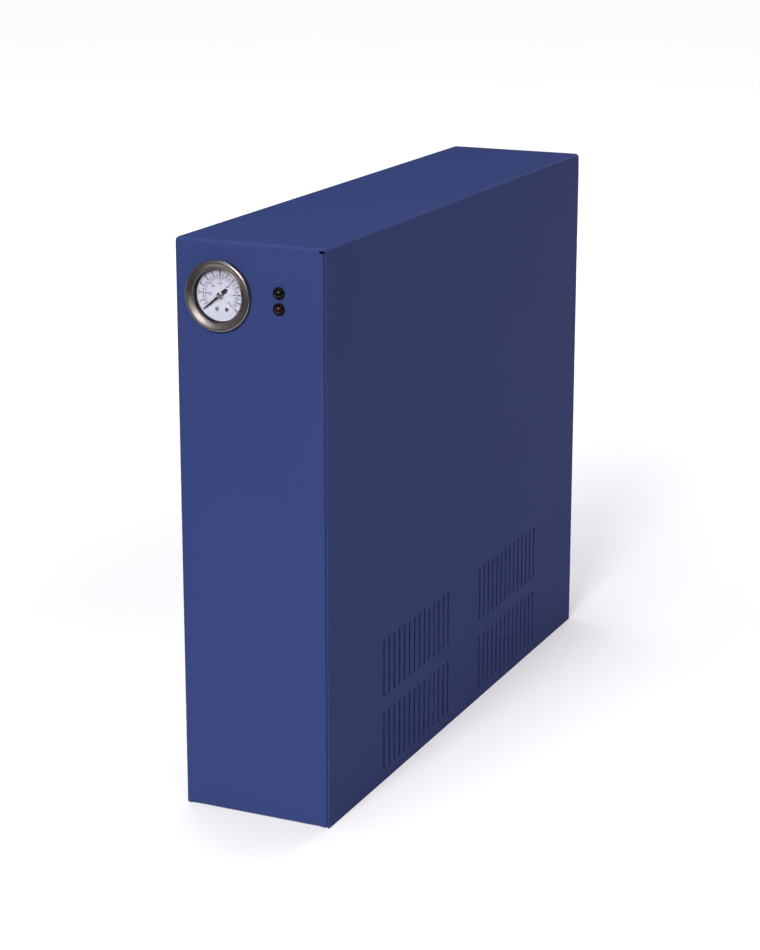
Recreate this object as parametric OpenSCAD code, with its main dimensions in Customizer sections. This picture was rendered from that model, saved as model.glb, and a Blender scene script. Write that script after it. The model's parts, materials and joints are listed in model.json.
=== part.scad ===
// Refrigerated compressed-air dryer in a slim upright sheet-steel cabinet.
// Millimetres. +Z is up, the front faces -Y, and the vented side seen from the front right faces +X.
// The origin is on the floor, under the middle of the cabinet.

/* [Cabinet] */
// Width across the front
cabinet_w = 150; // [150:1:156]
// Depth from the front panel to the rear flanges
cabinet_d = 640; // [640:1:650]
// Height from the floor to the top
cabinet_h = 540; // [540:1:580]
// Thickness of the hood and rear panel sheet
sheet_t = 1.2; // [1:0.1:1.2]
// Thickness of the base and bridge sheet
base_t = 1.5; // [1.2:0.1:1.5]
// Outer radius of the soft bends round the top
top_bend_r = 4; // [3.5:0.5:5]
// Outer radius of the return bends at the panel edges
return_r = 3; // [2.5:0.5:3]
// Depth of the return flanges
return_l = 14; // [12:1:14]

/* [Vents] */
// Slots in one row
slots_per_row = 14; // [6:1:14]
// Distance from slot to slot
slot_pitch = 12; // [10:1:12]
// Width of a slot
slot_w = 3.5; // [2:0.5:4]
// Length of a slot, end to end
slot_l = 58; // [40:1:62]
// Height of the middle of the lower row
lower_row_z = 42; // [40:1:44]
// Height of the middle of the upper row
upper_row_z = 116; // [112:1:120]
// Distance of a vent field's middle from the middle of the side
vent_field_y = 120; // [112:1:124]

/* [Gauge and lamps] */
// Gauge axis, from the middle of the front
gauge_x = -30; // [-32:1:-26]
// Gauge axis, below the top
gauge_drop = 49.5; // [48:0.5:60]
// Outer diameter of the bezel
bezel_d = 65; // [65:1:68]
// Sweep of the pointer from zero to full scale
pointer_sweep = 260; // [240:5:300]
// Lamps, from the middle of the front
lamp_x = 29.7; // [26:0.1:40]
// Upper lamp, below the top
lamp_drop = 42.3; // [40:0.1:50]
// Distance between the lamps
lamp_pitch = 14.3; // [13:0.1:20]
// Outer diameter of a lamp
lamp_d = 11; // [10:0.5:12]

/* [Rear connections] */
// Height of the air inlet
inlet_z = 395; // [390:1:400]
// Height of the air outlet
outlet_z = 290; // [285:1:295]
// Bore of the air ports, the minor diameter of a half-inch pipe thread
port_bore_d = 18.6; // [15:0.1:19]
// Depth of the threaded part of a port
port_bore_l = 16; // [12:1:16]
// Cable gland bore
gland_bore_d = 8; // [6:0.5:9]
// Outer diameter of the drain spigot
spigot_d = 8; // [6:0.5:8]

/* [Floor fixing] */
// Hole spacing across the cabinet
fixing_w = 100; // [96:1:104]
// Hole spacing along the cabinet
fixing_d = 592; // [590:1:594]
// Diameter of a fixing hole
fixing_hole_d = 9; // [7:0.5:9]

/* [Refrigeration] */
// Outer radius of the compressor can
can_r = 52; // [48:1:54]
// Fins in the condenser
fin_count = 23; // [8:1:30]
// Blades of the condenser fan
blade_count = 5; // [3:1:7]
// Turns of the capillary coil
capillary_turns = 4; // [2:1:5]
// Travel of the drain float
float_travel = 12; // [8:1:14]

/* [Hidden] */
$fn = 48;
side_x = cabinet_w / 2;
front_y = -cabinet_d / 2;
rear_y = cabinet_d / 2;
inner_x = side_x - sheet_t;
fit_gap = 0.2;
panel_gap = 0.6;
slip = 0.05;

// Hood
hood_bottom_z = 1;
top_bend_z = cabinet_h - top_bend_r;
top_bend_x = side_x - top_bend_r;
top_bend_y = front_y + top_bend_r;
corner_r = 6;
corner_x = side_x - corner_r;
corner_y = front_y + corner_r;
seam_gap = 0.8;
front_return_x = inner_x - seam_gap;
front_edge_x = front_return_x - return_r;
front_edge_y = front_y + return_r;
rear_edge_y = rear_y - return_r;
front_flange_z = base_t + fit_gap;
bottom_bend_r = 1.6;
bottom_bend_y = front_y + bottom_bend_r;
front_bottom_z = front_flange_z + bottom_bend_r;
front_flange_half_w = 66;
side_edge_setback = 0.6;
relief_h = 2.2;
relief_w = 5.2;
relief_l = 9;
relief_x = inner_x - relief_w / 2;
relief_z = top_bend_z + 0.6;
relief_bottom_z = relief_z - relief_h / 2;
rear_side_z0 = 8;
rear_side_z1 = 528;
rear_top_half_w = 68;

// Gauge, heights outward from the front panel
gauge_z = cabinet_h - gauge_drop;
gauge_hole_r = 27.5;
case_r = 27;
case_wall = 1.2;
case_depth = 30;
case_flange_r = 29.8;
case_flange_t = 1.4;
window_r = 28.5;
window_h = case_flange_t;
window_t = 1.4;
dial_r = 25.4;
dial_t = 0.6;
dial_h = -4.2;
pointer_h = dial_h + 1.3;
pointer_t = 0.6;
pointer_zero = 180 + (360 - pointer_sweep) / 2;
hub_top_h = pointer_h + 1.2;
spindle_r = 1.2;

// Lamps
lamp_hole_r = 4;
lamp_zs = [cabinet_h - lamp_drop, cabinet_h - lamp_drop - lamp_pitch];

// Rear panel
panel_y = rear_y - sheet_t - fit_gap;
panel_in_y = panel_y - sheet_t;
panel_half_w = inner_x - panel_gap;
panel_top_z = top_bend_z - 0.4;
panel_flange_l = 18;
port_r = 13;
port_flow_r = 7;
drain_flow_r = 5;
port_tail_y = 300;
gland_x = -42;
gland_z = 70;
gland_r = 8;
switch_x = -42;
switch_z = 120;
spigot_x = 36;
spigot_z = 30;
spigot_body_r = 5;
screw_r = 1.9;
screw_hole_r = 2.2;
hood_screw_side_x = 64;
hood_screw_zs = [60, 268, 476];
hood_screw_top_x = 40;
hood_screw_top_z = 529;
foot_screw_x = 40;
foot_screw_y = 309;
hood_screw_l = 8;
foot_screw_l = 2.6;

// Inner structure
bridge_y0 = -14;
bridge_y1 = 218;
bridge_top_z = 230;
bridge_half_w = 60;
bridge_foot_l = 20;
shell_lo = [-50, -36, bridge_top_z];
shell_hi = [50, 292, 440];
core_lo = [-36, -22, 244];
core_hi = [36, 278, 426];
core_fit = 0.3;
stub_front_y = -40;
suction_stub = [-24, stub_front_y, 330];
expansion_stub = [24, stub_front_y, 262];
suction_r = 5;
drain_y = 256;
head_top_z = 224;
head_bottom_z = 200;
tap_y = 262;
tap_top_z = 446;

// Compressor
can_y = 110;
can_half_l = 12;
can_z0 = 20.5;
can_seam_z = 96;
can_z1 = 160;
comp_plate_t = 2.5;
comp_stud_x = 50;
comp_stud_dy = 70;
comp_stud_r = 3;
discharge_z = 70;
discharge_x = 20;
suction_z = 120;

// Condenser and fan
fin_y0 = -190;
fin_y1 = -58;
fin_x0 = 34;
fin_x1 = 66;
fin_z0 = 20;
fin_z1 = 142;
fin_t = 0.5;
tube_r = 4.75;
tube_x = 50;
tube_rows = 5;
tube_pitch = 24;
tube_top_z = 129;
end_plate_t = 1.2;
end_gap = 2;
fan_y = (fin_y0 + fin_y1) / 2;
fan_z = (fin_z0 + fin_z1) / 2;
shroud_x = 22;
shroud_hole_r = 58;
blade_tip_r = 55;
hub_r = 12;
wheel_x0 = 2;
wheel_x1 = 20;
shaft_r = 3;
motor_x = -8;
motor_l = 40;
motor_r = 34;

// Shapes used by several pieces

// Box between two opposite corners
module block(lo, hi) {
    translate(lo) cube(hi - lo);
}

// Both hands of a piece, mirrored in the middle plane of the cabinet
module both_sides() {
    children();
    mirror([1, 0, 0]) children();
}

// Section of a bend: a quarter ring in the first quadrant
module bend_section(r, t) {
    intersection() {
        difference() {
            circle(r);
            circle(r - t);
        }
        square(r + 1);
    }
}

// Bend along X, Y or Z, turned about its own axis to the quadrant that it rounds
module bend_x(x0, x1, y, z, r, t, turn) {
    translate([x0, y, z]) rotate([90, 0, 90]) linear_extrude(x1 - x0) rotate(turn) bend_section(r, t);
}

module bend_y(y0, y1, x, z, r, t, turn) {
    translate([x, y1, z]) rotate([90, 0, 0]) linear_extrude(y1 - y0) rotate(turn) bend_section(r, t);
}

module bend_z(z0, z1, x, y, r, t, turn) {
    translate([x, y, z0]) linear_extrude(z1 - z0) rotate(turn) bend_section(r, t);
}

// Round bar along X, Y or Z
module bar_x(x0, x1, y, z, r) {
    translate([x0, y, z]) rotate([0, 90, 0]) cylinder(h = x1 - x0, r = r);
}

module bar_y(y0, y1, x, z, r) {
    translate([x, y0, z]) rotate([-90, 0, 0]) cylinder(h = y1 - y0, r = r);
}

module bar_z(z0, z1, x, y, r) {
    translate([x, y, z0]) cylinder(h = z1 - z0, r = r);
}

// Stand children made along +Z outward from the front panel or from the rear panel
module on_front(x, z) {
    translate([x, front_y, z]) rotate([90, 0, 0]) children();
}

module on_rear(x, z) {
    translate([x, panel_y, z]) rotate([-90, 0, 0]) children();
}

// Ring between two heights
module ring(h0, h1, r_out, r_in) {
    translate([0, 0, h0]) difference() {
        cylinder(h = h1 - h0, r = r_out);
        translate([0, 0, -1]) cylinder(h = h1 - h0 + 2, r = r_in);
    }
}

// Hexagon between two heights, by its width across the flats
module hexagon(h0, h1, flats) {
    translate([0, 0, h0]) cylinder(h = h1 - h0, d = flats / cos(30), $fn = 6);
}

// Hexagon nut between two heights
module nut(h0, h1, flats, r_in) {
    difference() {
        hexagon(h0, h1, flats);
        translate([0, 0, h0 - 1]) cylinder(h = h1 - h0 + 2, r = r_in);
    }
}

screw_head_r = 4;
screw_head_h = 2.4;
screw_dome_r = 5.8;
recess_half_l = 2.4;
recess_half_w = 0.5;
recess_z = 1.2;

// Pan-head screw with a cross recess, whose head sits on height 0 and whose shank goes down
module pan_screw(shank_l) {
    translate([0, 0, -shank_l]) cylinder(h = shank_l, r = screw_r);
    difference() {
        rotate_extrude() intersection() {
            translate([0, screw_head_h - screw_dome_r]) circle(screw_dome_r);
            square([screw_head_r, screw_head_h]);
        }
        for (a = [0, 90]) rotate(a) block([-recess_half_l, -recess_half_w, recess_z],
            [recess_half_l, recess_half_w, screw_head_h + 1]);
    }
}

// Pipe along a list of corner points with equal bends

function unit(v) = v / norm(v);

function turn_between(p, i) = acos(unit(p[i] - p[i - 1]) * unit(p[i + 1] - p[i]));

function setback(p, i, bend) = i == 0 || i == len(p) - 1 ? 0 : bend * tan(turn_between(p, i) / 2);

// Placement whose local axes are the three given directions
function placement(origin, ex, ey, ez) = [
    [ex.x, ey.x, ez.x, origin.x],
    [ex.y, ey.y, ez.y, origin.y],
    [ex.z, ey.z, ez.z, origin.z],
    [0, 0, 0, 1],
];

module straight(from, to, r) {
    d = unit(to - from);
    side = unit(cross(d, abs(d.z) < 0.9 ? [0, 0, 1] : [1, 0, 0]));
    multmatrix(placement(from, side, cross(d, side), d)) cylinder(h = norm(to - from), r = r);
}

module elbow(p, i, r, bend) {
    a = unit(p[i] - p[i - 1]);
    b = unit(p[i + 1] - p[i]);
    inward = unit(b - a * (a * b));
    centre = p[i] - a * setback(p, i, bend) + inward * bend;
    multmatrix(placement(centre, -inward, a, cross(-inward, a)))
        rotate_extrude(angle = turn_between(p, i)) translate([bend, 0]) circle(r);
}

module pipe(p, r, bend) {
    for (i = [0:len(p) - 2]) {
        d = unit(p[i + 1] - p[i]);
        from = p[i] + d * setback(p, i, bend);
        to = p[i + 1] - d * setback(p, i + 1, bend);
        if (norm(to - from) > 0.01) straight(from, to, r);
    }
    if (len(p) > 2) for (i = [1:len(p) - 2]) elbow(p, i, r, bend);
}

// Cabinet

module slot_outline() {
    square([slot_w, slot_l - slot_w], center = true);
    for (end = [-1, 1]) translate([0, end * (slot_l - slot_w) / 2]) circle(d = slot_w);
}

// Two fields of two rows of slots, as seen along the depth and the height
module vent_outline() {
    for (field = [-1, 1], row_z = [lower_row_z, upper_row_z], i = [0:slots_per_row - 1])
        translate([field * vent_field_y + (i - (slots_per_row - 1) / 2) * slot_pitch, row_z])
            slot_outline();
}

// Flat sheet of one side, from a front edge to the fold of the rear return
module side_sheet(edge_y) {
    translate([inner_x, 0, 0]) rotate([90, 0, 90]) linear_extrude(sheet_t) difference() {
        translate([edge_y, hood_bottom_z]) square([rear_edge_y - edge_y, top_bend_z - hood_bottom_z]);
        vent_outline();
    }
}

// Folds that both sides share: the top fold, carried round a vertical front corner, and the rear return
module side_folds(front_r) {
    corner = front_y + front_r;
    bend_y(corner, rear_edge_y, top_bend_x, top_bend_z, top_bend_r, sheet_t, 0);
    translate([side_x - front_r, corner, top_bend_z]) rotate(-90) rotate_extrude(angle = 90)
        translate([front_r - top_bend_r, 0]) bend_section(top_bend_r, sheet_t);
    bend_z(rear_side_z0, rear_side_z1, side_x - return_r, rear_edge_y, return_r, sheet_t, 0);
    block([side_x - return_r - return_l, rear_y - sheet_t, rear_side_z0],
        [side_x - return_r, rear_y, rear_side_z1]);
}

// Seamed corner on the right: the front panel's return behind the raw edge of the side
module seam_return() {
    bend_z(front_flange_z, relief_bottom_z, front_edge_x, front_edge_y, return_r, sheet_t, -90);
    block([front_return_x - sheet_t, front_edge_y, front_flange_z],
        [front_return_x, front_edge_y + return_l, relief_bottom_z]);
}

// Front panel, folded back along the bottom between its two lower corners
module hood_front() {
    translate([0, front_y + sheet_t, 0]) rotate([90, 0, 0]) linear_extrude(sheet_t) difference() {
        translate([-corner_x, front_flange_z])
            square([corner_x + front_edge_x, top_bend_z - front_flange_z]);
        translate([-front_flange_half_w, front_flange_z]) square([2 * front_flange_half_w, bottom_bend_r]);
        translate([gauge_x, gauge_z]) circle(gauge_hole_r);
        for (z = lamp_zs) translate([lamp_x, z]) circle(lamp_hole_r);
    }
    bend_x(-corner_x, top_bend_x, top_bend_y, top_bend_z, top_bend_r, sheet_t, 90);
    bend_x(-front_flange_half_w, front_flange_half_w, bottom_bend_y, front_bottom_z,
        bottom_bend_r, sheet_t, 180);
    block([-front_flange_half_w, bottom_bend_y, front_flange_z],
        [front_flange_half_w, bottom_bend_y + return_l, front_flange_z + sheet_t]);
}

// Relief slit where the seam meets the top fold
module corner_relief() {
    translate([relief_x, front_y - 1, relief_z]) rotate([-90, 0, 0]) linear_extrude(relief_l) {
        square([relief_w - relief_h, relief_h], center = true);
        for (end = [-1, 1]) translate([end * (relief_w - relief_h) / 2, 0]) circle(d = relief_h);
    }
}

// Top sheet, rounded at its left front corner, with the return along its rear edge
module hood_top() {
    flat_r = corner_r - top_bend_r;
    translate([0, 0, cabinet_h - sheet_t]) linear_extrude(sheet_t) {
        translate([-corner_x, corner_y]) circle(flat_r);
        difference() {
            translate([-top_bend_x, top_bend_y]) square([2 * top_bend_x, rear_edge_y - top_bend_y]);
            translate([-top_bend_x, top_bend_y]) square(flat_r);
        }
    }
    bend_x(-rear_top_half_w, rear_top_half_w, rear_edge_y, cabinet_h - return_r, return_r, sheet_t, 0);
    block([-rear_top_half_w, rear_y - sheet_t, cabinet_h - return_r - return_l],
        [rear_top_half_w, rear_y, cabinet_h - return_r]);
}

hood_screw_places = concat(
    [for (side = [-1, 1], z = hood_screw_zs) [side * hood_screw_side_x, z]],
    [for (side = [-1, 1]) [side * hood_screw_top_x, hood_screw_top_z]]
);

module hood() {
    color("#3d4a7f") difference() {
        union() {
            hood_top();
            hood_front();
            side_folds(top_bend_r);
            side_sheet(front_y + side_edge_setback);
            seam_return();
            mirror([1, 0, 0]) {
                side_folds(corner_r);
                side_sheet(corner_y);
                bend_z(hood_bottom_z, top_bend_z, corner_x, corner_y, corner_r, sheet_t, -90);
            }
        }
        corner_relief();
        for (p = hood_screw_places) bar_y(rear_y - 2 * sheet_t, rear_y + 1, p[0], p[1], screw_hole_r);
    }
}

// Base pan: folded sides, fixing holes and two tongues that hold down the hood's front flange
pan_y = rear_y - sheet_t - fit_gap;
pan_bend_x = inner_x - panel_gap - return_r;
pan_flange_half_l = 298;
pan_flange_h = 14;
tongue_x0 = 20;
tongue_x1 = 36;
tongue_y0 = front_y + 8;
tongue_y1 = front_y + 20;
tongue_z = front_flange_z + sheet_t + fit_gap;

module base_pan() {
    color("#a9adb0") {
        linear_extrude(base_t) difference() {
            translate([-pan_bend_x, -pan_y]) square([2 * pan_bend_x, 2 * pan_y]);
            for (sx = [-1, 1], sy = [-1, 1]) translate([sx * fixing_w / 2, sy * fixing_d / 2])
                circle(d = fixing_hole_d);
            for (sx = [-1, 1]) translate([sx * foot_screw_x, foot_screw_y]) circle(screw_hole_r);
        }
        both_sides() {
            bend_y(-pan_flange_half_l, pan_flange_half_l, pan_bend_x, return_r, return_r, base_t, -90);
            block([pan_bend_x + return_r - base_t, -pan_flange_half_l, return_r],
                [pan_bend_x + return_r, pan_flange_half_l, pan_flange_h]);
            block([tongue_x0, tongue_y1 - base_t, base_t], [tongue_x1, tongue_y1, tongue_z]);
            block([tongue_x0, tongue_y0, tongue_z], [tongue_x1, tongue_y1, tongue_z + base_t]);
        }
    }
}

corner_notch = 6;

// Rear panel: folded forward at the sides and the bottom, holed for everything that is connected
module rear_panel() {
    side_bend_x = panel_half_w - return_r;
    bottom_z = front_flange_z + return_r;
    fold_y = panel_y - return_r;
    color("#3a4675") difference() {
        union() {
            block([-side_bend_x, panel_in_y, bottom_z], [side_bend_x, panel_y, panel_top_z]);
            both_sides() {
                bend_z(bottom_z + corner_notch, panel_top_z, side_bend_x, fold_y, return_r, sheet_t, 0);
                block([panel_half_w - sheet_t, panel_y - panel_flange_l, bottom_z + corner_notch],
                    [panel_half_w, fold_y, panel_top_z]);
            }
            bend_x(-side_bend_x, side_bend_x, fold_y, bottom_z, return_r, sheet_t, -90);
            block([-side_bend_x, panel_y - panel_flange_l, front_flange_z],
                [side_bend_x, fold_y, front_flange_z + sheet_t]);
        }
        for (z = [inlet_z, outlet_z]) bar_y(panel_in_y - 1, panel_y + 1, 0, z, port_r + fit_gap);
        bar_y(panel_in_y - 1, panel_y + 1, gland_x, gland_z, gland_r + fit_gap);
        bar_y(panel_in_y - 1, panel_y + 1, spigot_x, spigot_z, spigot_body_r + fit_gap);
        block([switch_x - switch_half_w - slip, panel_in_y - 1, switch_z - switch_half_h - slip],
            [switch_x + switch_half_w + slip, panel_y + 1, switch_z + switch_half_h + slip]);
        for (p = hood_screw_places) bar_y(panel_in_y - 1, panel_y + 1, p[0], p[1], screw_hole_r);
        for (sx = [-1, 1]) bar_z(front_flange_z - 1, front_flange_z + sheet_t + 1, sx * foot_screw_x,
            foot_screw_y, screw_hole_r);
    }
}

// Screws that hold the hood to the rear panel, and the rear panel to the base
module panel_screws() {
    color("#b8bcc0") {
        for (p = hood_screw_places)
            translate([p[0], rear_y, p[1]]) rotate([-90, 0, 0]) pan_screw(hood_screw_l);
        for (sx = [-1, 1])
            translate([sx * foot_screw_x, foot_screw_y, front_flange_z + sheet_t]) pan_screw(foot_screw_l);
    }
}

// Bridge over the compressor that carries the insulated exchanger
bridge_window_half_w = 34;
bridge_window_z0 = 24;
bridge_window_z1 = 205;

module bridge_end_section(y) {
    translate([y + return_r, bridge_top_z - return_r]) rotate(90) bend_section(return_r, base_t);
    translate([y, base_t + return_r]) square([base_t, bridge_top_z - base_t - 2 * return_r]);
    translate([y + base_t - return_r, base_t + return_r]) rotate(-90) bend_section(return_r, base_t);
    translate([y + base_t - return_r - bridge_foot_l, base_t]) square([bridge_foot_l, base_t]);
}

module exchanger_bridge() {
    color("#a9adb0") difference() {
        rotate([90, 0, 90]) translate([0, 0, -bridge_half_w]) linear_extrude(2 * bridge_half_w) {
            bridge_end_section(bridge_y0);
            translate([bridge_y0 + bridge_y1, 0]) mirror([1, 0]) bridge_end_section(bridge_y0);
            translate([bridge_y0 + return_r, bridge_top_z - base_t])
                square([bridge_y1 - bridge_y0 - 2 * return_r, base_t]);
        }
        block([-bridge_window_half_w, bridge_y0 - 1, bridge_window_z0],
            [bridge_window_half_w, bridge_y1 + 1, bridge_window_z1]);
    }
}

// Air side

air_stub_r = 9;
suction_stub_r = 7;
expansion_stub_r = 4;
drain_stub_r = 8;
tap_r = 5;
core_groove = 1.5;
core_layers = 14;
core_bore_l = 20;

// The six stubs of the exchanger, each widened by the same margin
module core_stubs(margin) {
    for (z = [inlet_z, outlet_z]) bar_y(core_hi.y, port_tail_y, 0, z, air_stub_r + margin);
    bar_y(stub_front_y, core_lo.y, suction_stub.x, suction_stub.z, suction_stub_r + margin);
    bar_y(stub_front_y, core_lo.y, expansion_stub.x, expansion_stub.z, expansion_stub_r + margin);
    bar_z(head_top_z, core_lo.z, 0, drain_y, drain_stub_r + margin);
    bar_z(core_hi.z, tap_top_z, 0, tap_y, tap_r + margin);
}

// Brazed bar-and-plate block: the bars stand back between the parting sheets
module exchanger_core() {
    core_l = core_hi.y - core_lo.y;
    layer_h = (core_hi.z - core_lo.z) / core_layers;
    color("#b9bcbf") difference() {
        union() {
            translate([0, core_hi.y, 0]) rotate([90, 0, 0]) linear_extrude(core_l) difference() {
                translate([core_lo.x, core_lo.z]) square([core_hi.x - core_lo.x, core_hi.z - core_lo.z]);
                for (i = [0:core_layers - 1], x = [core_lo.x - 1, core_hi.x - core_groove])
                    translate([x, core_lo.z + (i + 0.25) * layer_h]) square([core_groove + 1, layer_h / 2]);
            }
            core_stubs(0);
        }
        for (z = [inlet_z, outlet_z]) bar_y(core_hi.y - core_bore_l, port_tail_y + 1, 0, z, port_flow_r);
        bar_z(head_top_z - 1, core_lo.z + core_bore_l, 0, drain_y, drain_flow_r);
    }
}

// Half of the expanded-foam casing round the exchanger, on the +X side
shell_chamfer = 8;

module insulation_half() {
    difference() {
        translate([0, shell_hi.y, 0]) rotate([90, 0, 0]) linear_extrude(shell_hi.y - shell_lo.y) polygon([
            [0, shell_lo.z],
            [shell_hi.x - shell_chamfer, shell_lo.z],
            [shell_hi.x, shell_lo.z + shell_chamfer],
            [shell_hi.x, shell_hi.z - shell_chamfer],
            [shell_hi.x - shell_chamfer, shell_hi.z],
            [0, shell_hi.z],
        ]);
        block([-1, core_lo.y - core_fit, core_lo.z], core_hi + core_fit * [1, 1, 1]);
        core_stubs(core_fit);
        mirror([1, 0, 0]) core_stubs(core_fit);
    }
}

module insulation_left() {
    color("#e9e9e4") mirror([1, 0, 0]) insulation_half();
}

module insulation_right() {
    color("#e9e9e4") insulation_half();
}

// Bulkhead air port with an internal pipe thread
port_flats = 30;
port_hex_h = 18;

module air_port(z) {
    tail_h = panel_y - port_tail_y;
    on_rear(0, z) difference() {
        union() {
            intersection() {
                hexagon(0, port_hex_h, port_flats);
                cylinder(h = port_hex_h, r1 = port_hex_h + port_flats / 2, r2 = port_flats / 2 + 1);
            }
            translate([0, 0, -tail_h]) cylinder(h = tail_h, r = port_r);
        }
        translate([0, 0, port_hex_h - port_bore_l]) cylinder(h = port_bore_l + 1, d = port_bore_d);
        translate([0, 0, -tail_h - 1]) cylinder(h = tail_h + port_hex_h, r = port_flow_r);
    }
}

module inlet_port() {
    color("#b59a4e") air_port(inlet_z);
}

module outlet_port() {
    color("#b59a4e") air_port(outlet_z);
}

lamp_nut_t = 3;
lamp_nut_flats = 11;
port_nut_t = 6;
port_nut_flats = 34;
gland_nut_t = 5;
gland_nut_flats = 22;
spigot_nut_t = 4;
spigot_nut_flats = 14;

// Nut on a fitting that stands through a panel, against the inside of the sheet
module panel_nut(t, flats, r_in) {
    nut(-sheet_t - t, -sheet_t, flats, r_in);
}

// Locknuts behind the panels, on the ports, the gland, the drain spigot and the lamps
module locknuts() {
    color("#b59a4e") {
        for (z = lamp_zs) on_front(lamp_x, z) panel_nut(lamp_nut_t, lamp_nut_flats, lamp_hole_r);
        for (z = [inlet_z, outlet_z]) on_rear(0, z) panel_nut(port_nut_t, port_nut_flats, port_r + slip);
        on_rear(gland_x, gland_z) panel_nut(gland_nut_t, gland_nut_flats, gland_r + slip);
        on_rear(spigot_x, spigot_z) panel_nut(spigot_nut_t, spigot_nut_flats, spigot_body_r + slip);
    }
}

// Condensate separator with a float drain
bowl_r = 28;
bowl_wall = 2.5;
bowl_z0 = 72;
bowl_floor = 4;
bowl_top_z = 212;
bowl_round = 10;
head_r = 32;
nipple_r = 4;
nipple_z = 56;
nipple_bore_r = 2;
stem_r = 3;
stem_over = 20;
seat_r = 8;
seat_h = 4;
float_r = 18;
float_round = 8;
float_z0 = 82;
float_h = 40;

module separator_head() {
    color("#9fa3a6") translate([0, drain_y, 0]) {
        ring(bowl_top_z, head_top_z, head_r, drain_flow_r);
        ring(head_bottom_z, bowl_top_z, head_r, bowl_r + fit_gap);
    }
}

module separator_bowl() {
    color("#c9d0d2") translate([0, drain_y, 0]) rotate_extrude() difference() {
        union() {
            translate([0, bowl_z0 + bowl_round]) square([bowl_r, bowl_top_z - bowl_z0 - bowl_round]);
            translate([0, bowl_z0]) square([bowl_r - bowl_round, 2 * bowl_round]);
            translate([bowl_r - bowl_round, bowl_z0 + bowl_round]) circle(bowl_round);
            translate([0, nipple_z]) square([nipple_r, bowl_z0 - nipple_z + 1]);
        }
        translate([0, bowl_z0 + bowl_floor]) square([bowl_r - bowl_round, bowl_top_z]);
        translate([0, bowl_z0 + bowl_round]) square([bowl_r - bowl_wall, bowl_top_z]);
        translate([0, nipple_z - 1]) square([nipple_bore_r, bowl_z0]);
    }
}

// Guide stem of the float with its seat on the floor of the bowl
module drain_valve() {
    color("#c2a85a") translate([0, drain_y, 0]) {
        bar_z(bowl_z0 + bowl_floor, bowl_z0 + bowl_floor + seat_h, 0, 0, seat_r);
        bar_z(bowl_z0 + bowl_floor, float_z0 + float_h + float_travel + stem_over, 0, 0, stem_r);
    }
}

module drain_float() {
    color("#e6e2d6") translate([0, drain_y, float_z0]) rotate_extrude() difference() {
        union() {
            square([float_r, float_h - float_round]);
            square([float_r - float_round, float_h]);
            translate([float_r - float_round, float_h - float_round]) circle(float_round);
        }
        translate([0, -1]) square([stem_r + slip, float_h + 2]);
    }
}

spigot_tail_y = 300;
hose_bend = 9;

module drain_hose() {
    color("#dfe3e4") pipe([
        [0, drain_y, nipple_z],
        [0, drain_y, spigot_z],
        [spigot_x, drain_y, spigot_z],
        [spigot_x, spigot_tail_y, spigot_z],
    ], nipple_r, hose_bend);
}

spigot_l = 24;
spigot_hex_h = 6;
spigot_flats = 14;
spigot_bore_r = 2;

module drain_spigot() {
    tail_l = panel_y - spigot_tail_y;
    color("#b59a4e") on_rear(spigot_x, spigot_z) difference() {
        union() {
            hexagon(0, spigot_hex_h, spigot_flats);
            cylinder(h = spigot_l, d = spigot_d);
            translate([0, 0, -tail_l]) cylinder(h = tail_l, r = spigot_body_r);
        }
        translate([0, 0, -tail_l - 1]) cylinder(h = tail_l + spigot_l + 2, r = spigot_bore_r);
    }
}

// Refrigeration circuit

can_flange_w = 2;
can_flange_half_t = 3;

// Upright section of the compressor can: a drawn lower cup and a domed lid, welded at a flange
module can_section() {
    wall_r = can_r - can_flange_w;
    foot_round = 14;
    lid_round = 24;
    translate([-wall_r + foot_round, can_z0]) square([2 * (wall_r - foot_round), can_z1 - can_z0]);
    translate([-wall_r, can_z0 + foot_round])
        square([2 * wall_r, can_z1 - can_z0 - foot_round - lid_round]);
    for (s = [-1, 1]) {
        translate([s * (wall_r - foot_round), can_z0 + foot_round]) circle(foot_round);
        translate([s * (wall_r - lid_round), can_z1 - lid_round]) circle(lid_round);
    }
    translate([-wall_r + lid_round, can_z1 - lid_round]) square([2 * (wall_r - lid_round), lid_round]);
    translate([-can_r, can_seam_z - can_flange_half_t]) square([2 * can_r, 2 * can_flange_half_t]);
}

module can_solid() {
    translate([0, can_y + can_half_l, 0]) rotate([90, 0, 0]) linear_extrude(2 * can_half_l) can_section();
    for (end = [0, 1]) translate([0, can_y + (1 - 2 * end) * can_half_l, 0]) rotate(180 * end)
        rotate_extrude(angle = 180) intersection() {
            can_section();
            translate([0, can_z0 - 1]) square([can_r + 1, can_z1]);
        }
}

stub_out = 6;
stub_reach = 26;
discharge_stub_r = 5;
return_stub_r = 6.5;
stub_y = can_y - can_half_l - can_r - stub_out;

module compressor_shell() {
    color("#1d1e20") {
        can_solid();
        bar_y(stub_y, stub_y + stub_reach, discharge_x, discharge_z, discharge_stub_r);
        bar_y(stub_y, stub_y + stub_reach, suction_stub.x, suction_z, return_stub_r);
    }
}

cover_half_w = 20;
cover_z0 = 104;
cover_z1 = 136;
cover_out = 14;
cover_in = 12;

module compressor_terminal_cover() {
    color("#2b2c2e") difference() {
        block([-can_r - cover_out, can_y - cover_half_w, cover_z0],
            [-can_r + cover_in, can_y + cover_half_w, cover_z1]);
        can_solid();
    }
}

comp_stud_places = [for (sx = [-1, 1], sy = [-1, 1]) [sx * comp_stud_x, can_y + sy * comp_stud_dy]];
comp_plate_z = can_z0 - comp_plate_t;
foot_r = 12;
stud_head_r = 8;
stud_top_z = 34;
grommet_r = 11;
grommet_neck_r = 7;
grommet_cap_r = 10;
grommet_top_z = can_z0 + 4;
washer_r = 9;
washer_top_z = grommet_top_z + 1.5;
comp_nut_top_z = washer_top_z + 5;
comp_nut_flats = 10;

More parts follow.
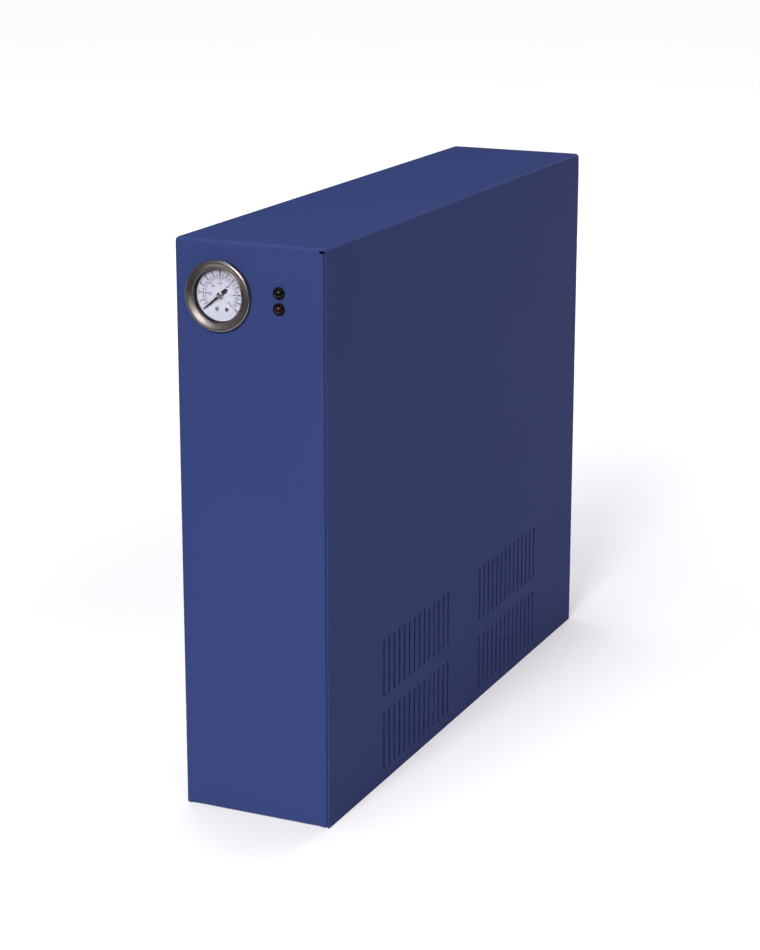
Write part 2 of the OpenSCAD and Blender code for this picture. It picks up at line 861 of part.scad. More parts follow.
module compressor_base() {
    color("#26272a") translate([0, 0, comp_plate_z]) linear_extrude(comp_plate_t) difference() {
        union() {
            for (p = comp_stud_places) translate(p) circle(foot_r);
            translate([-comp_stud_x - foot_r, can_y - comp_stud_dy])
                square([2 * (comp_stud_x + foot_r), 2 * comp_stud_dy]);
            translate([-comp_stud_x, can_y - comp_stud_dy - foot_r])
                square([2 * comp_stud_x, 2 * (comp_stud_dy + foot_r)]);
        }
        for (p = comp_stud_places) translate(p) circle(grommet_neck_r + slip);
    }
}

module compressor_studs() {
    color("#b8bcc0") for (p = comp_stud_places) translate(p) {
        bar_z(base_t, base_t * 2, 0, 0, stud_head_r);
        bar_z(base_t, stud_top_z, 0, 0, comp_stud_r);
    }
}

module compressor_grommets() {
    bore = comp_stud_r + slip;
    color("#202122") for (p = comp_stud_places) translate(p) {
        ring(base_t * 2, comp_plate_z, grommet_r, bore);
        ring(comp_plate_z, can_z0, grommet_neck_r, bore);
        ring(can_z0, grommet_top_z, grommet_cap_r, bore);
    }
}

module compressor_nuts() {
    bore = comp_stud_r + slip;
    color("#b8bcc0") for (p = comp_stud_places) translate(p) {
        ring(grommet_top_z, washer_top_z, washer_r, bore);
        nut(washer_top_z, comp_nut_top_z, comp_nut_flats, bore);
    }
}

// Condenser: fin pack on one serpentine tube between two end plates
turn_gap = 2;
plate_hole_gap = 0.25;
tube_turn_y0 = fin_y0 - end_gap - end_plate_t - turn_gap - tube_pitch / 2;
tube_turn_y1 = fin_y1 + end_gap + end_plate_t + turn_gap + tube_pitch / 2;
tube_in_y = -40;
tube_out_y = -206;

function tube_z(row) = tube_top_z - row * tube_pitch;

module fin_outline(z0, margin) {
    difference() {
        translate([fin_x0, z0]) square([fin_x1 - fin_x0, fin_z1 - z0]);
        for (row = [0:tube_rows - 1]) translate([tube_x, tube_z(row)]) circle(tube_r + margin);
    }
}

module condenser_fins() {
    fin_pitch = (fin_y1 - fin_y0 - fin_t) / (fin_count - 1);
    color("#c3c6c8") for (i = [0:fin_count - 1]) translate([0, fin_y0 + fin_t + i * fin_pitch, 0])
        rotate([90, 0, 0]) linear_extrude(fin_t) fin_outline(fin_z0, slip);
}

module condenser_tubes() {
    last_z = tube_z(tube_rows - 1);
    color("#b87048") pipe(concat(
        [[tube_x, tube_in_y, tube_top_z]],
        [for (row = [0:tube_rows - 2], k = [0, 1])
            [tube_x, row % 2 == 0 ? tube_turn_y0 : tube_turn_y1, tube_z(row + k)]],
        [[tube_x, tube_out_y, last_z]]
    ), tube_r, tube_pitch / 2);
}

module condenser_end_plates() {
    foot = 10;
    color("#a9adb0") for (y = [fin_y0 - end_gap, fin_y1 + end_gap + end_plate_t]) {
        outward = y < fan_y ? -1 : 1;
        translate([0, y, 0]) rotate([90, 0, 0]) linear_extrude(end_plate_t)
            fin_outline(base_t, plate_hole_gap);
        translate([0, y - end_plate_t / 2 + outward * foot / 2, base_t + end_plate_t / 2])
            translate([(fin_x0 + fin_x1) / 2, 0, 0])
            cube([fin_x1 - fin_x0, foot + end_plate_t, end_plate_t], center = true);
    }
}

// Shroud with a bell-mouthed collar round the fan
shroud_wall = 1.2;
collar_l = 8;

module fan_shroud() {
    y0 = fin_y0 - end_gap - end_plate_t;
    y1 = fin_y1 + end_gap + end_plate_t;
    color("#2c2e31") difference() {
        union() {
            block([shroud_x, y0, fin_z0], [fin_x0, y1, fin_z1]);
            bar_x(shroud_x - collar_l, shroud_x + 1, fan_y, fan_z, shroud_hole_r + shroud_wall);
        }
        block([shroud_x + shroud_wall, y0 + shroud_wall, fin_z0 + shroud_wall],
            [fin_x0 + 1, y1 - shroud_wall, fin_z1 - shroud_wall]);
        bar_x(shroud_x - collar_l - 1, fin_x0, fan_y, fan_z, shroud_hole_r);
    }
}

// Stand children made along +Z on the fan axis, pointing to +X
module on_fan(x) {
    translate([x, fan_y, fan_z]) rotate([0, 90, 0]) children();
}

blade_t = 1.2;
blade_camber_r = 44;
blade_pitch = 32;
blade_half_w = 21;
blade_root = 3;

// Cambered blade: a slice of a large thin tube, cut to the tip circle
module fan_blade() {
    mid = (wheel_x1 - wheel_x0) / 2;
    intersection() {
        translate([0, 0, mid]) rotate([blade_pitch, 0, 0]) translate([0, 0, -blade_camber_r])
            rotate([0, 90, 0]) difference() {
                cylinder(h = blade_tip_r + 5, r = blade_camber_r + blade_t);
                cylinder(h = blade_tip_r + 5, r = blade_camber_r);
            }
        block([hub_r - blade_root, -blade_half_w, 1],
            [blade_tip_r + 1, blade_half_w, wheel_x1 - wheel_x0 - 1]);
        cylinder(h = wheel_x1 - wheel_x0, r = blade_tip_r);
    }
}

module fan_wheel() {
    wheel_l = wheel_x1 - wheel_x0;
    color("#d7dadc") on_fan(wheel_x0) difference() {
        union() {
            cylinder(h = wheel_l, r = hub_r);
            for (i = [0:blade_count - 1]) rotate(i * 360 / blade_count) fan_blade();
        }
        translate([0, 0, -1]) cylinder(h = wheel_l + 2, r = shaft_r + slip);
    }
}

shaft_inset = 8;
shaft_over = 2;

module fan_shaft() {
    shaft_x = motor_x - motor_l + shaft_inset;
    color("#c0c3c6") on_fan(shaft_x) cylinder(h = wheel_x1 + shaft_over - shaft_x, r = shaft_r);
}

motor_round = 6;
motor_groove_w = 2;
motor_groove_hs = [16, 22, 28];

module fan_motor() {
    color("#303236") on_fan(motor_x - motor_l) rotate_extrude() difference() {
        union() {
            translate([0, motor_round]) square([motor_r, motor_l - motor_round]);
            square([motor_r - motor_round, 2 * motor_round]);
            translate([motor_r - motor_round, motor_round]) circle(motor_round);
        }
        translate([0, shaft_inset - 1]) square([shaft_r + slip, motor_l]);
        for (h = motor_groove_hs)
            translate([motor_r - motor_groove_w, h]) square([motor_groove_w + 1, motor_groove_w]);
    }
}

bracket_post = [52, 44];
bracket_t = 2;
bracket_ring_r = 22;
bracket_hole_r = 9;
bracket_arm_w = 9;
bracket_post_r = 3;

module fan_bracket() {
    reach = norm(bracket_post);
    color("#a9adb0") {
        on_fan(motor_x) linear_extrude(bracket_t) difference() {
            union() {
                circle(bracket_ring_r);
                for (s = [-1, 1]) rotate(s * atan2(bracket_post[0], bracket_post[1]))
                    square([2 * reach, bracket_arm_w], center = true);
                for (sy = [-1, 1], sz = [-1, 1])
                    translate([sz * bracket_post[1], sy * bracket_post[0]]) circle(d = bracket_arm_w);
            }
            circle(bracket_hole_r);
        }
        for (sy = [-1, 1], sz = [-1, 1])
            bar_x(motor_x + bracket_t, shroud_x, fan_y + sy * bracket_post[0],
                fan_z + sz * bracket_post[1], bracket_post_r);
    }
}

// Brass blocks that join three or four lines
tee_r = 8;
discharge_tee = [discharge_x, -24, 150];
suction_tee = [suction_stub.x, -60, 206];

module tee_block(at) {
    block(at - tee_r * [1, 1, 1], at + tee_r * [1, 1, 1]);
}

module line_tees() {
    color("#b59a4e") {
        tee_block(discharge_tee);
        tee_block(suction_tee);
    }
}

line_r = 4;
line_bend = 10;
suction_bend = 12;

module discharge_line() {
    over_z = 182;
    color("#b87048") {
        pipe([
            [discharge_x, stub_y, discharge_z],
            [discharge_x, discharge_tee.y, discharge_z],
            discharge_tee - [0, 0, tee_r],
        ], line_r, line_bend);
        pipe([
            discharge_tee + [0, 0, tee_r],
            [discharge_x, discharge_tee.y, over_z],
            [tube_x, discharge_tee.y, over_z],
            [tube_x, discharge_tee.y, tube_top_z],
            [tube_x, tube_in_y, tube_top_z],
        ], line_r, line_bend);
    }
}

module suction_line() {
    color("#b87048") {
        pipe([
            suction_stub,
            [suction_stub.x, suction_tee.y, suction_stub.z],
            suction_tee + [0, 0, tee_r],
        ], suction_r, suction_bend);
        pipe([
            suction_tee - [0, 0, tee_r],
            [suction_stub.x, suction_tee.y, suction_z],
            [suction_stub.x, stub_y, suction_z],
        ], suction_r, suction_bend);
    }
}

// Hot gas bypass valve between the discharge and the suction side
valve = [discharge_x, -90, 206];
valve_z0 = 186;
valve_foot_z = 194;
valve_z1 = 226;
valve_head_z = 236;
valve_cap_z = 250;
valve_foot_r = 6;
valve_body_r = 11;
valve_head_r = 18;
valve_cap_r = 8;
valve_outlet_x = 4;
valve_outlet_r = 5;
hot_gas_r = 3;
hot_gas_bend = 9;

module hot_gas_valve() {
    color("#b59a4e") {
        translate([valve.x, valve.y, 0]) {
            bar_z(valve_z0, valve_foot_z, 0, 0, valve_foot_r);
            bar_z(valve_foot_z, valve_z1, 0, 0, valve_body_r);
            bar_z(valve_z1, valve_head_z, 0, 0, valve_head_r);
            bar_z(valve_head_z, valve_cap_z, 0, 0, valve_cap_r);
        }
        bar_x(valve_outlet_x, valve.x, valve.y, valve.z, valve_outlet_r);
    }
}

module hot_gas_line() {
    color("#b87048") {
        pipe([
            discharge_tee - [0, tee_r, 0],
            [valve.x, valve.y, discharge_tee.z],
            [valve.x, valve.y, valve_z0],
        ], hot_gas_r, hot_gas_bend);
        pipe([
            [valve_outlet_x, valve.y, valve.z],
            [suction_tee.x, valve.y, valve.z],
            suction_tee - [0, tee_r, 0],
        ], hot_gas_r, hot_gas_bend);
    }
}

switch_stem_r = 4;
switch_hex_h = 6;
switch_hex_flats = 14;
switch_can_h = 13;
switch_can_r = 9;
switch_can_l = 18;
tab_x = 3;
tab_w = 4.8;
tab_t = 0.8;
tab_l = 7;

// Pressure switch: stem, hexagon and can, with two flat connection tabs
module pressure_switch() {
    face_x = discharge_tee.x - tee_r;
    color("#8f9397") translate([face_x, discharge_tee.y, discharge_tee.z]) rotate([0, -90, 0]) {
        cylinder(h = switch_can_h, r = switch_stem_r);
        hexagon(switch_hex_h, switch_can_h, switch_hex_flats);
        translate([0, 0, switch_can_h]) cylinder(h = switch_can_l, r = switch_can_r);
        for (x = [-tab_x, tab_x])
            translate([x - tab_t / 2, -tab_w / 2, switch_can_h + switch_can_l]) cube([tab_t, tab_w, tab_l]);
    }
}

drier = [20, -240];
drier_z0 = 180;
drier_z1 = 280;
drier_r = 14;

module filter_drier() {
    neck = 10;
    cone = 14;
    color("#b87048") translate(drier) rotate_extrude() polygon([
        [0, drier_z0],
        [line_r, drier_z0],
        [line_r, drier_z0 + neck],
        [drier_r, drier_z0 + neck + cone],
        [drier_r, drier_z1 - neck - cone],
        [line_r, drier_z1 - neck],
        [line_r, drier_z1],
        [0, drier_z1],
    ]);
}

module liquid_line() {
    over_z = 310;
    low_z = tube_z(tube_rows - 1);
    color("#b87048") pipe([
        [tube_x, tube_out_y, low_z],
        [tube_x, drier.y, low_z],
        [tube_x, drier.y, over_z],
        [drier.x, drier.y, over_z],
        [drier.x, drier.y, drier_z1],
    ], hot_gas_r, hot_gas_bend);
}

// Capillary: one unbroken thin tube from the drier round a coil to the exchanger
capillary_r = 1.2;
coil_axis = [-30, -150];
coil_r = 22;
coil_z = 170;
coil_pitch = 6;
coil_top_z = coil_z + capillary_turns * coil_pitch;
rings_per_turn = 24;
tube_sides = 6;

capillary_path = concat(
    [
        [drier.x, drier.y, drier_z0],
        [drier.x, drier.y, 174],
        [16, -235, 171],
        [-4, -212, coil_z],
        [coil_axis.x + coil_r, -205, coil_z],
    ],
    [for (i = [0:capillary_turns * rings_per_turn])
        [coil_axis.x + coil_r * cos(i * 360 / rings_per_turn),
         coil_axis.y + coil_r * sin(i * 360 / rings_per_turn),
         coil_z + i * coil_pitch / rings_per_turn]],
    [
        [coil_axis.x + coil_r, -125, coil_top_z],
        [coil_axis.x + coil_r, -115, coil_top_z + 6],
        [coil_axis.x + coil_r, -80, 256],
        [coil_axis.x + coil_r + 4, -74, expansion_stub.z],
        [20, -56, expansion_stub.z],
        [expansion_stub.x, -50, expansion_stub.z],
        expansion_stub,
    ]
);

function path_tangent(p, i) = unit(p[min(i + 1, len(p) - 1)] - p[max(i - 1, 0)]);

function carried(n, t) = unit(n - t * (n * t));

// Thin tube along a path, its rings turned as little as possible from one to the next
module swept_tube(p, r, start_normal) {
    count = len(p);
    normals = [for (i = 0, n = start_normal; i < count; i = i + 1,
        n = carried(n, path_tangent(p, min(i, count - 1)))) n];
    points = [for (i = [0:count - 1], k = [0:tube_sides - 1])
        p[i] + r * (cos(k * 360 / tube_sides) * normals[i]
            + sin(k * 360 / tube_sides) * cross(path_tangent(p, i), normals[i]))];
    sides = [for (i = [0:count - 2], k = [0:tube_sides - 1], half = [0, 1])
        let (a = i * tube_sides + k, b = i * tube_sides + (k + 1) % tube_sides)
        half == 0 ? [a, a + tube_sides, b] : [b, a + tube_sides, b + tube_sides]];
    caps = [for (k = [1:tube_sides - 2], end = [0, 1])
        let (base = end * (count - 1) * tube_sides)
        end == 0 ? [base, base + k, base + k + 1] : [base, base + k + 1, base + k]];
    polyhedron(points, concat(sides, caps));
}

module capillary_tube() {
    color("#b87048") swept_tube(capillary_path, capillary_r, [1, 0, 0]);
}

// Pressure gauge, heights outward from the front panel

module gauge_case() {
    color("#c9ccce") on_front(gauge_x, gauge_z) {
        ring(-case_depth, case_flange_t, case_r, case_r - case_wall);
        ring(0, case_flange_t, case_flange_r, case_r - case_wall);
        ring(-case_depth - case_wall, -case_depth, case_r, socket_r + socket_gap);
    }
}

bezel_roll_r = 2.3;
bezel_roll_h = bezel_roll_r;
bezel_slope = 0.7;
bezel_bead_r = 0.75;
bezel_lip_r = 24.2;
bezel_band_t = 0.4;

// Section of the bezel: a rolled outer edge, a slope down to a flat band and a bead round the window
module bezel_section() {
    skirt_x = case_flange_r + fit_gap;
    roll_x = bezel_d / 2 - bezel_roll_r;
    bead_x = bezel_lip_r + bezel_bead_r;
    window_top = window_h + window_t;
    slope_x = roll_x - bezel_roll_r * cos(45);
    slope_h = bezel_roll_h + bezel_roll_r * cos(45);
    translate([skirt_x, 0]) square([bezel_d / 2 - skirt_x, bezel_roll_h]);
    difference() {
        union() {
            translate([roll_x, bezel_roll_h]) circle(bezel_roll_r);
            translate([bead_x, window_top + bezel_bead_r / 2]) circle(bezel_bead_r);
            polygon([
                [bead_x, window_top],
                [roll_x, window_top],
                [roll_x, slope_h],
                [slope_x, slope_h],
                [slope_x - bezel_slope, slope_h - bezel_slope],
                [bead_x, window_top + bezel_band_t],
            ]);
        }
        square([skirt_x, window_top]);
    }
}

module gauge_bezel() {
    color("#d5d2cc") on_front(gauge_x, gauge_z) rotate_extrude() bezel_section();
}

module gauge_window() {
    color("#dfe8ea", 0.4) on_front(gauge_x, gauge_z) translate([0, 0, window_h])
        cylinder(h = window_t, r = window_r);
}

module gauge_dial() {
    color("#f2f2ee") on_front(gauge_x, gauge_z) ring(dial_h, dial_h + dial_t, dial_r, spindle_r + fit_gap);
}

pointer_l = 19.5;
pointer_tail = 9;
pointer_root_half_w = 1.25;
pointer_tip_half_w = 0.7;
pointer_tail_half_w = 1.8;
pointer_disc_r = 3;
pointer_hub_r = 2;

// Pointer at zero: a blade that narrows to a blunt tip, a broad round tail, the hub and the spindle
module gauge_pointer() {
    color("#17181a") on_front(gauge_x, gauge_z) rotate(90 - pointer_zero) {
        translate([0, 0, pointer_h]) linear_extrude(pointer_t) {
            polygon([
                [0, -pointer_root_half_w],
                [pointer_l, -pointer_tip_half_w],
                [pointer_l, pointer_tip_half_w],
                [0, pointer_root_half_w],
            ]);
            translate([pointer_tail_half_w - pointer_tail, -pointer_tail_half_w])
                square([pointer_tail - pointer_tail_half_w, 2 * pointer_tail_half_w]);
            translate([pointer_tail_half_w - pointer_tail, 0]) circle(pointer_tail_half_w);
            circle(pointer_disc_r);
        }
        translate([0, 0, pointer_h]) cylinder(h = hub_top_h - pointer_h, r = pointer_hub_r);
        translate([0, 0, spindle_end_h]) cylinder(h = pointer_h - spindle_end_h, r = spindle_r);
    }
}

movement_r = 12;
movement_top_h = dial_h - 2.6;
movement_bottom_h = movement_top_h - 8;
spindle_end_h = movement_bottom_h + 0.5;
dial_post_x = 8;
dial_post_r = 1.5;
movement_stem_r = 4;

// Movement plates as one block on a stem, with two posts that carry the dial
module gauge_movement() {
    color("#c2a85a") on_front(gauge_x, gauge_z) {
        ring(movement_bottom_h, movement_top_h, movement_r, spindle_r + slip);
        for (side = [-1, 1]) translate([side * dial_post_x, 0, movement_top_h])
            cylinder(h = dial_h - movement_top_h, r = dial_post_r);
        translate([0, 0, socket_top_h]) cylinder(h = movement_bottom_h - socket_top_h, r = movement_stem_r);
    }
}

bourdon_r = 19;
bourdon_t = 2.4;
bourdon_w = 8;
bourdon_start = -60;
bourdon_sweep = 280;
socket_arm_h = 4;

// C-shaped flattened tube round the movement
module bourdon_tube() {
    color("#c2a85a") on_front(gauge_x, gauge_z) translate([0, 0, socket_top_h + socket_arm_h])
        rotate(bourdon_start) rotate_extrude(angle = bourdon_sweep)
        translate([bourdon_r - bourdon_t / 2, 0]) square([bourdon_t, bourdon_w]);
}

socket_r = 6.5;
socket_gap = 0.4;
socket_l = 50;
socket_reach = 8;
socket_top_h = socket_reach - case_depth;
socket_hex = 14;
socket_arm_half_w = 3;
socket_spigot_r = 4;

// Socket through the back of the case, with an arm that carries the fixed end of the Bourdon tube
module gauge_socket() {
    hex_h = -case_depth - socket_reach;
    color("#b59a4e") on_front(gauge_x, gauge_z) {
        translate([0, 0, hex_h]) cylinder(h = socket_top_h - hex_h, r = socket_r);
        rotate(bourdon_start) block([movement_stem_r + fit_gap, 0, socket_top_h - 1],
            [bourdon_r + bourdon_t / 2, 2 * socket_arm_half_w, socket_top_h + socket_arm_h]);
        hexagon(socket_spigot_r - socket_l, hex_h, socket_hex);
        translate([0, 0, -socket_l]) cylinder(h = socket_spigot_r + 1, r = socket_spigot_r);
    }
}

clamp_reach = 34;
clamp_half_w = 10;
clamp_t = 1.5;

// Bow clamp that pulls the gauge case back against the panel
module gauge_clamp() {
    back = -case_depth - case_wall;
    color("#b8bcc0") on_front(gauge_x, gauge_z) difference() {
        union() {
            block([-clamp_reach, -clamp_half_w, back - clamp_t], [clamp_reach, clamp_half_w, back]);
            for (s = [-1, 1]) block([s * clamp_reach - clamp_t / 2, -clamp_half_w, back - clamp_t],
                [s * clamp_reach + clamp_t / 2, clamp_half_w, -sheet_t]);
        }
        translate([0, 0, back - clamp_t - 1]) cylinder(h = clamp_t + 2, r = socket_r + socket_gap);
    }
}

gauge_tube_r = 2;
gauge_tube_bend = 12;

module gauge_tube() {
    color("#25272a") pipe([
        [gauge_x, front_y + socket_l, gauge_z],
        [gauge_x, tap_y, gauge_z],
        [0, tap_y, gauge_z],
        [0, tap_y, tap_top_z],
    ], gauge_tube_r, gauge_tube_bend);
}

// Pilot lamps

lamp_rim_h = 2.2;
lamp_edge_r = 0.8;
lamp_bore_r = 3.2;
lamp_lens_r = 4.4;
lamp_dome_h = 2.6;
lamp_body_l = 16;
lamp_body_floor = 2;
lens_seat_t = 1;
lens_stem_l = 4;

module lamp_bezel(z) {
    on_front(lamp_x, z) rotate_extrude() difference() {
        union() {
            square([lamp_d / 2, lamp_rim_h - lamp_edge_r]);
            square([lamp_d / 2 - lamp_edge_r, lamp_rim_h]);
            translate([lamp_d / 2 - lamp_edge_r, lamp_rim_h - lamp_edge_r]) circle(lamp_edge_r);
            translate([0, -lamp_body_l]) square([lamp_hole_r - slip, lamp_body_l + 1]);
        }
        translate([0, lamp_body_floor - lamp_body_l]) square([lamp_bore_r, 2 * lamp_body_l]);
        translate([0, lamp_rim_h - lens_seat_t]) square([lamp_lens_r, 2 * lens_seat_t]);
    }
}

// Lens: a low dome on a stem that plugs into the lamp's body
module lamp_lens(z) {
    dome_r = (lamp_lens_r * lamp_lens_r + lamp_dome_h * lamp_dome_h) / (2 * lamp_dome_h);
    on_front(lamp_x, z) rotate_extrude() {
        translate([0, -lens_stem_l]) square([lamp_bore_r - slip, lamp_rim_h + lens_stem_l]);
        translate([0, lamp_rim_h - lens_seat_t]) square([lamp_lens_r - slip, lens_seat_t]);
        intersection() {
            translate([0, lamp_rim_h + lamp_dome_h - dome_r]) circle(dome_r);
            translate([0, lamp_rim_h]) square([lamp_lens_r - slip, lamp_dome_h + 1]);
        }
    }
}

module power_lamp_bezel() {
    color("#141517") lamp_bezel(lamp_zs[0]);
}

module power_lamp_lens() {
    color("#12211c") lamp_lens(lamp_zs[0]);
}

module alarm_lamp_bezel() {
    color("#141517") lamp_bezel(lamp_zs[1]);
}

module alarm_lamp_lens() {
    color("#4a1a16") lamp_lens(lamp_zs[1]);
}

// Electrics

box_lo = [-66, -276, base_t];
box_hi = [14, -208, 122];
box_wall = 2;
box_entry_in = 18;
box_entry_r = 8;
lid_lip = 4;

module control_box() {
    color("#8c9094") difference() {
        block(box_lo, box_hi);
        block(box_lo + box_wall * [1, 1, 1], box_hi + [1, -box_wall, -box_wall]);
        bar_y(box_hi.y - box_wall - 1, box_hi.y + 1, box_lo.x + box_entry_in, box_hi.z - box_entry_in,
            box_entry_r);
    }
}

module control_box_lid() {
    color("#9da1a4") {
        block([box_hi.x, box_lo.y, box_lo.z], [box_hi.x + box_wall, box_hi.y, box_hi.z]);
        block([box_hi.x - lid_lip, box_lo.y + box_wall + fit_gap, box_lo.z + box_wall + fit_gap],
            [box_hi.x, box_hi.y - box_wall - fit_gap, box_hi.z - box_wall - fit_gap]);
    }
}

terminal_count = 5;
terminal_pitch = 10;
terminal_depth = 18;
terminal_z0 = 52;
terminal_z1 = 78;
terminal_wire_in = 8;
terminal_wire_r = 2;
terminal_screw_r = 2.5;

module terminal_block() {
    back_x = box_lo.x + box_wall;
    wire_x = back_x + terminal_wire_in;
    y0 = (box_lo.y + box_hi.y - terminal_count * terminal_pitch) / 2;
    color("#d9d6cc") difference() {
        block([back_x, y0, terminal_z0],
            [back_x + terminal_depth, y0 + terminal_count * terminal_pitch, terminal_z1]);
        for (i = [0:terminal_count - 1]) {
            y = y0 + (i + 0.5) * terminal_pitch;
            bar_x(wire_x, back_x + terminal_depth + 1, y, (terminal_z0 + terminal_z1) / 2,
                terminal_screw_r);
            bar_z(terminal_z0 - 1, terminal_z1 + 1, wire_x, y, terminal_wire_r);
        }
    }
}

// Snap-in rocker switch on the rear panel
switch_half_w = 6.4;
switch_half_h = 9.6;
switch_rim = 1.4;
switch_rim_t = 1.6;
switch_depth = 18;
switch_wall = 0.6;
rocker_half_w = 4.6;
rocker_half_h = 7;
rocker_side_gap = 0.3;
rocker_pivot_h = -2;
rocker_pin_r = 1;
rocker_tilt = 10;
well_half_h = 8.1;
well_depth = 8;
rocker_foot_h = -2;
rocker_end_h = 4.6;
rocker_dip_h = 3.2;

module switch_housing() {
    well_half_w = rocker_half_w + rocker_side_gap;
    color("#1b1c1e") on_rear(switch_x, switch_z) difference() {
        union() {
            block([-switch_half_w - switch_rim, -switch_half_h - switch_rim, 0],
                [switch_half_w + switch_rim, switch_half_h + switch_rim, switch_rim_t]);
            block([-switch_half_w, -switch_half_h, -switch_depth], [switch_half_w, switch_half_h, 0]);
        }
        block([-well_half_w, -well_half_h, -well_depth], [well_half_w, well_half_h, switch_rim_t + 1]);
        translate([switch_wall - switch_half_w, 0, rocker_pivot_h]) rotate([0, 90, 0])
            cylinder(h = 2 * (switch_half_w - switch_wall), r = rocker_pin_r + slip);
    }
}

// Rocker tilted to its off position
module switch_rocker() {
    pin_reach = switch_half_w - switch_wall - fit_gap;
    color("#26282b") on_rear(switch_x, switch_z) translate([0, 0, rocker_pivot_h])
        rotate([rocker_tilt, 0, 0]) {
        rotate([90, 0, 90]) translate([0, 0, -rocker_half_w]) linear_extrude(2 * rocker_half_w) polygon([
            [-rocker_half_h, rocker_foot_h],
            [rocker_half_h, rocker_foot_h],
            [rocker_half_h, rocker_end_h],
            [0, rocker_dip_h],
            [-rocker_half_h, rocker_end_h],
        ]);
        rotate([0, 90, 0]) translate([0, 0, -pin_reach]) cylinder(h = 2 * pin_reach, r = rocker_pin_r);
    }
}

gland_tail_l = 14;
gland_base_h = 5;
gland_base_flats = 21;
gland_dome_r = 8.6;
gland_dome_h = 15;
gland_nose_h = 19;
gland_nose_r = 6;
gland_cap_h0 = 6;
gland_cap_h1 = 13;
gland_cap_flats = 19;

// Cable gland: a fixed hexagon, a domed cap nut and a threaded tail through the panel
module cable_gland() {
    color("#1f2022") on_rear(gland_x, gland_z) difference() {
        union() {
            hexagon(0, gland_base_h, gland_base_flats);
            hexagon(gland_cap_h0, gland_cap_h1, gland_cap_flats);
            cylinder(h = gland_dome_h, r = gland_dome_r);
            translate([0, 0, gland_dome_h])
                cylinder(h = gland_nose_h - gland_dome_h, r1 = gland_dome_r, r2 = gland_nose_r);
            translate([0, 0, -gland_tail_l]) cylinder(h = gland_tail_l, r = gland_r);
        }
        translate([0, 0, -gland_tail_l - 1])
            cylinder(h = gland_tail_l + gland_nose_h + 2, d = gland_bore_d);
    }
}

hood();
base_pan();
rear_panel();
panel_screws();
exchanger_bridge();
exchanger_core();
insulation_left();
insulation_right();
inlet_port();
outlet_port();
locknuts();
separator_head();
separator_bowl();
drain_valve();
drain_float();
drain_hose();
drain_spigot();
compressor_shell();
compressor_terminal_cover();
compressor_base();
compressor_studs();
compressor_grommets();
compressor_nuts();
condenser_fins();
condenser_tubes();
condenser_end_plates();
fan_shroud();
fan_wheel();
fan_shaft();
fan_motor();
fan_bracket();
line_tees();
discharge_line();
suction_line();
hot_gas_valve();
hot_gas_line();
pressure_switch();
filter_drier();
liquid_line();
capillary_tube();
gauge_case();
gauge_bezel();
gauge_window();
gauge_dial();
gauge_pointer();
gauge_movement();
bourdon_tube();
gauge_socket();
gauge_clamp();
gauge_tube();
power_lamp_bezel();
power_lamp_lens();
alarm_lamp_bezel();
alarm_lamp_lens();
control_box();
control_box_lid();
terminal_block();
switch_housing();
switch_rocker();
cable_gland();
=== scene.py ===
import json
import math

import bmesh
import bpy
from mathutils import Matrix, Vector


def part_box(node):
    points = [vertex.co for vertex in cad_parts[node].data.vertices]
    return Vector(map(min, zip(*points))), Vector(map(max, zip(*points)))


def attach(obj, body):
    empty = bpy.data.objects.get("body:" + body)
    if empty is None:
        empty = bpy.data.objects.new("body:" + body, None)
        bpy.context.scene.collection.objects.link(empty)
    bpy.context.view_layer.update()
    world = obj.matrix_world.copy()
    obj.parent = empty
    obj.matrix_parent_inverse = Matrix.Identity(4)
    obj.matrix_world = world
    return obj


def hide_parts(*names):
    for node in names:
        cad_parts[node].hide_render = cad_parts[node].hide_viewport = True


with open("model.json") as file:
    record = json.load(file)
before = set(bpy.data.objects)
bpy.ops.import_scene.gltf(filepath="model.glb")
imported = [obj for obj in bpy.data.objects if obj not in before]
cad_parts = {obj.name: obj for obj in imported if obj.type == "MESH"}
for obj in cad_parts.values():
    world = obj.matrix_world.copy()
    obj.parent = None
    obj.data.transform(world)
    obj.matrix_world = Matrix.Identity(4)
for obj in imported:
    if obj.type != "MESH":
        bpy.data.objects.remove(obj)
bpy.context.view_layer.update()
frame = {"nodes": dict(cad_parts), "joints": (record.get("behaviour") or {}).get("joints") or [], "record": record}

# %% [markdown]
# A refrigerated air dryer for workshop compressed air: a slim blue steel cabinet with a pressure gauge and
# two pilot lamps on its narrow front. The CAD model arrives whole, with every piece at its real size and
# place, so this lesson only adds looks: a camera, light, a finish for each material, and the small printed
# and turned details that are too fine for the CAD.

MM = 0.001
nodes = frame["nodes"]
cabinet_low, cabinet_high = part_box("hood")
cabinet_middle = (cabinet_low + cabinet_high) / 2
print("CAD pieces:", len(nodes), "cabinet in mm:", [round(s / MM) for s in cabinet_high - cabinet_low])

# %% [markdown]
# The photograph looks down a little on the front and the right side, through a long lens. The camera is set
# the way a photographer would note it: how far round, how far up, how far away and what focal length. The
# small sideways and upward offsets only aim it, and the slight downward shift is the crop of the picture.

# %% The camera
PICTURE_H = 950
SENSOR_MM = 36
VIEW_ROUND = math.radians(24.579)
VIEW_UP = math.radians(14.732)
VIEW_DISTANCE = 2394.8 * MM
AIM_RIGHT = -18.18 * MM
AIM_UP = 25.64 * MM
FOCAL_PIXELS = 2346.0
CROP_PIXELS = 47.5

back = Vector((math.sin(VIEW_ROUND) * math.cos(VIEW_UP),
               -math.cos(VIEW_ROUND) * math.cos(VIEW_UP),
               math.sin(VIEW_UP)))
right = (-back).cross(Vector((0, 0, 1))).normalized()
up = right.cross(-back)
aim = cabinet_middle.copy()
aim += right * AIM_RIGHT + up * AIM_UP

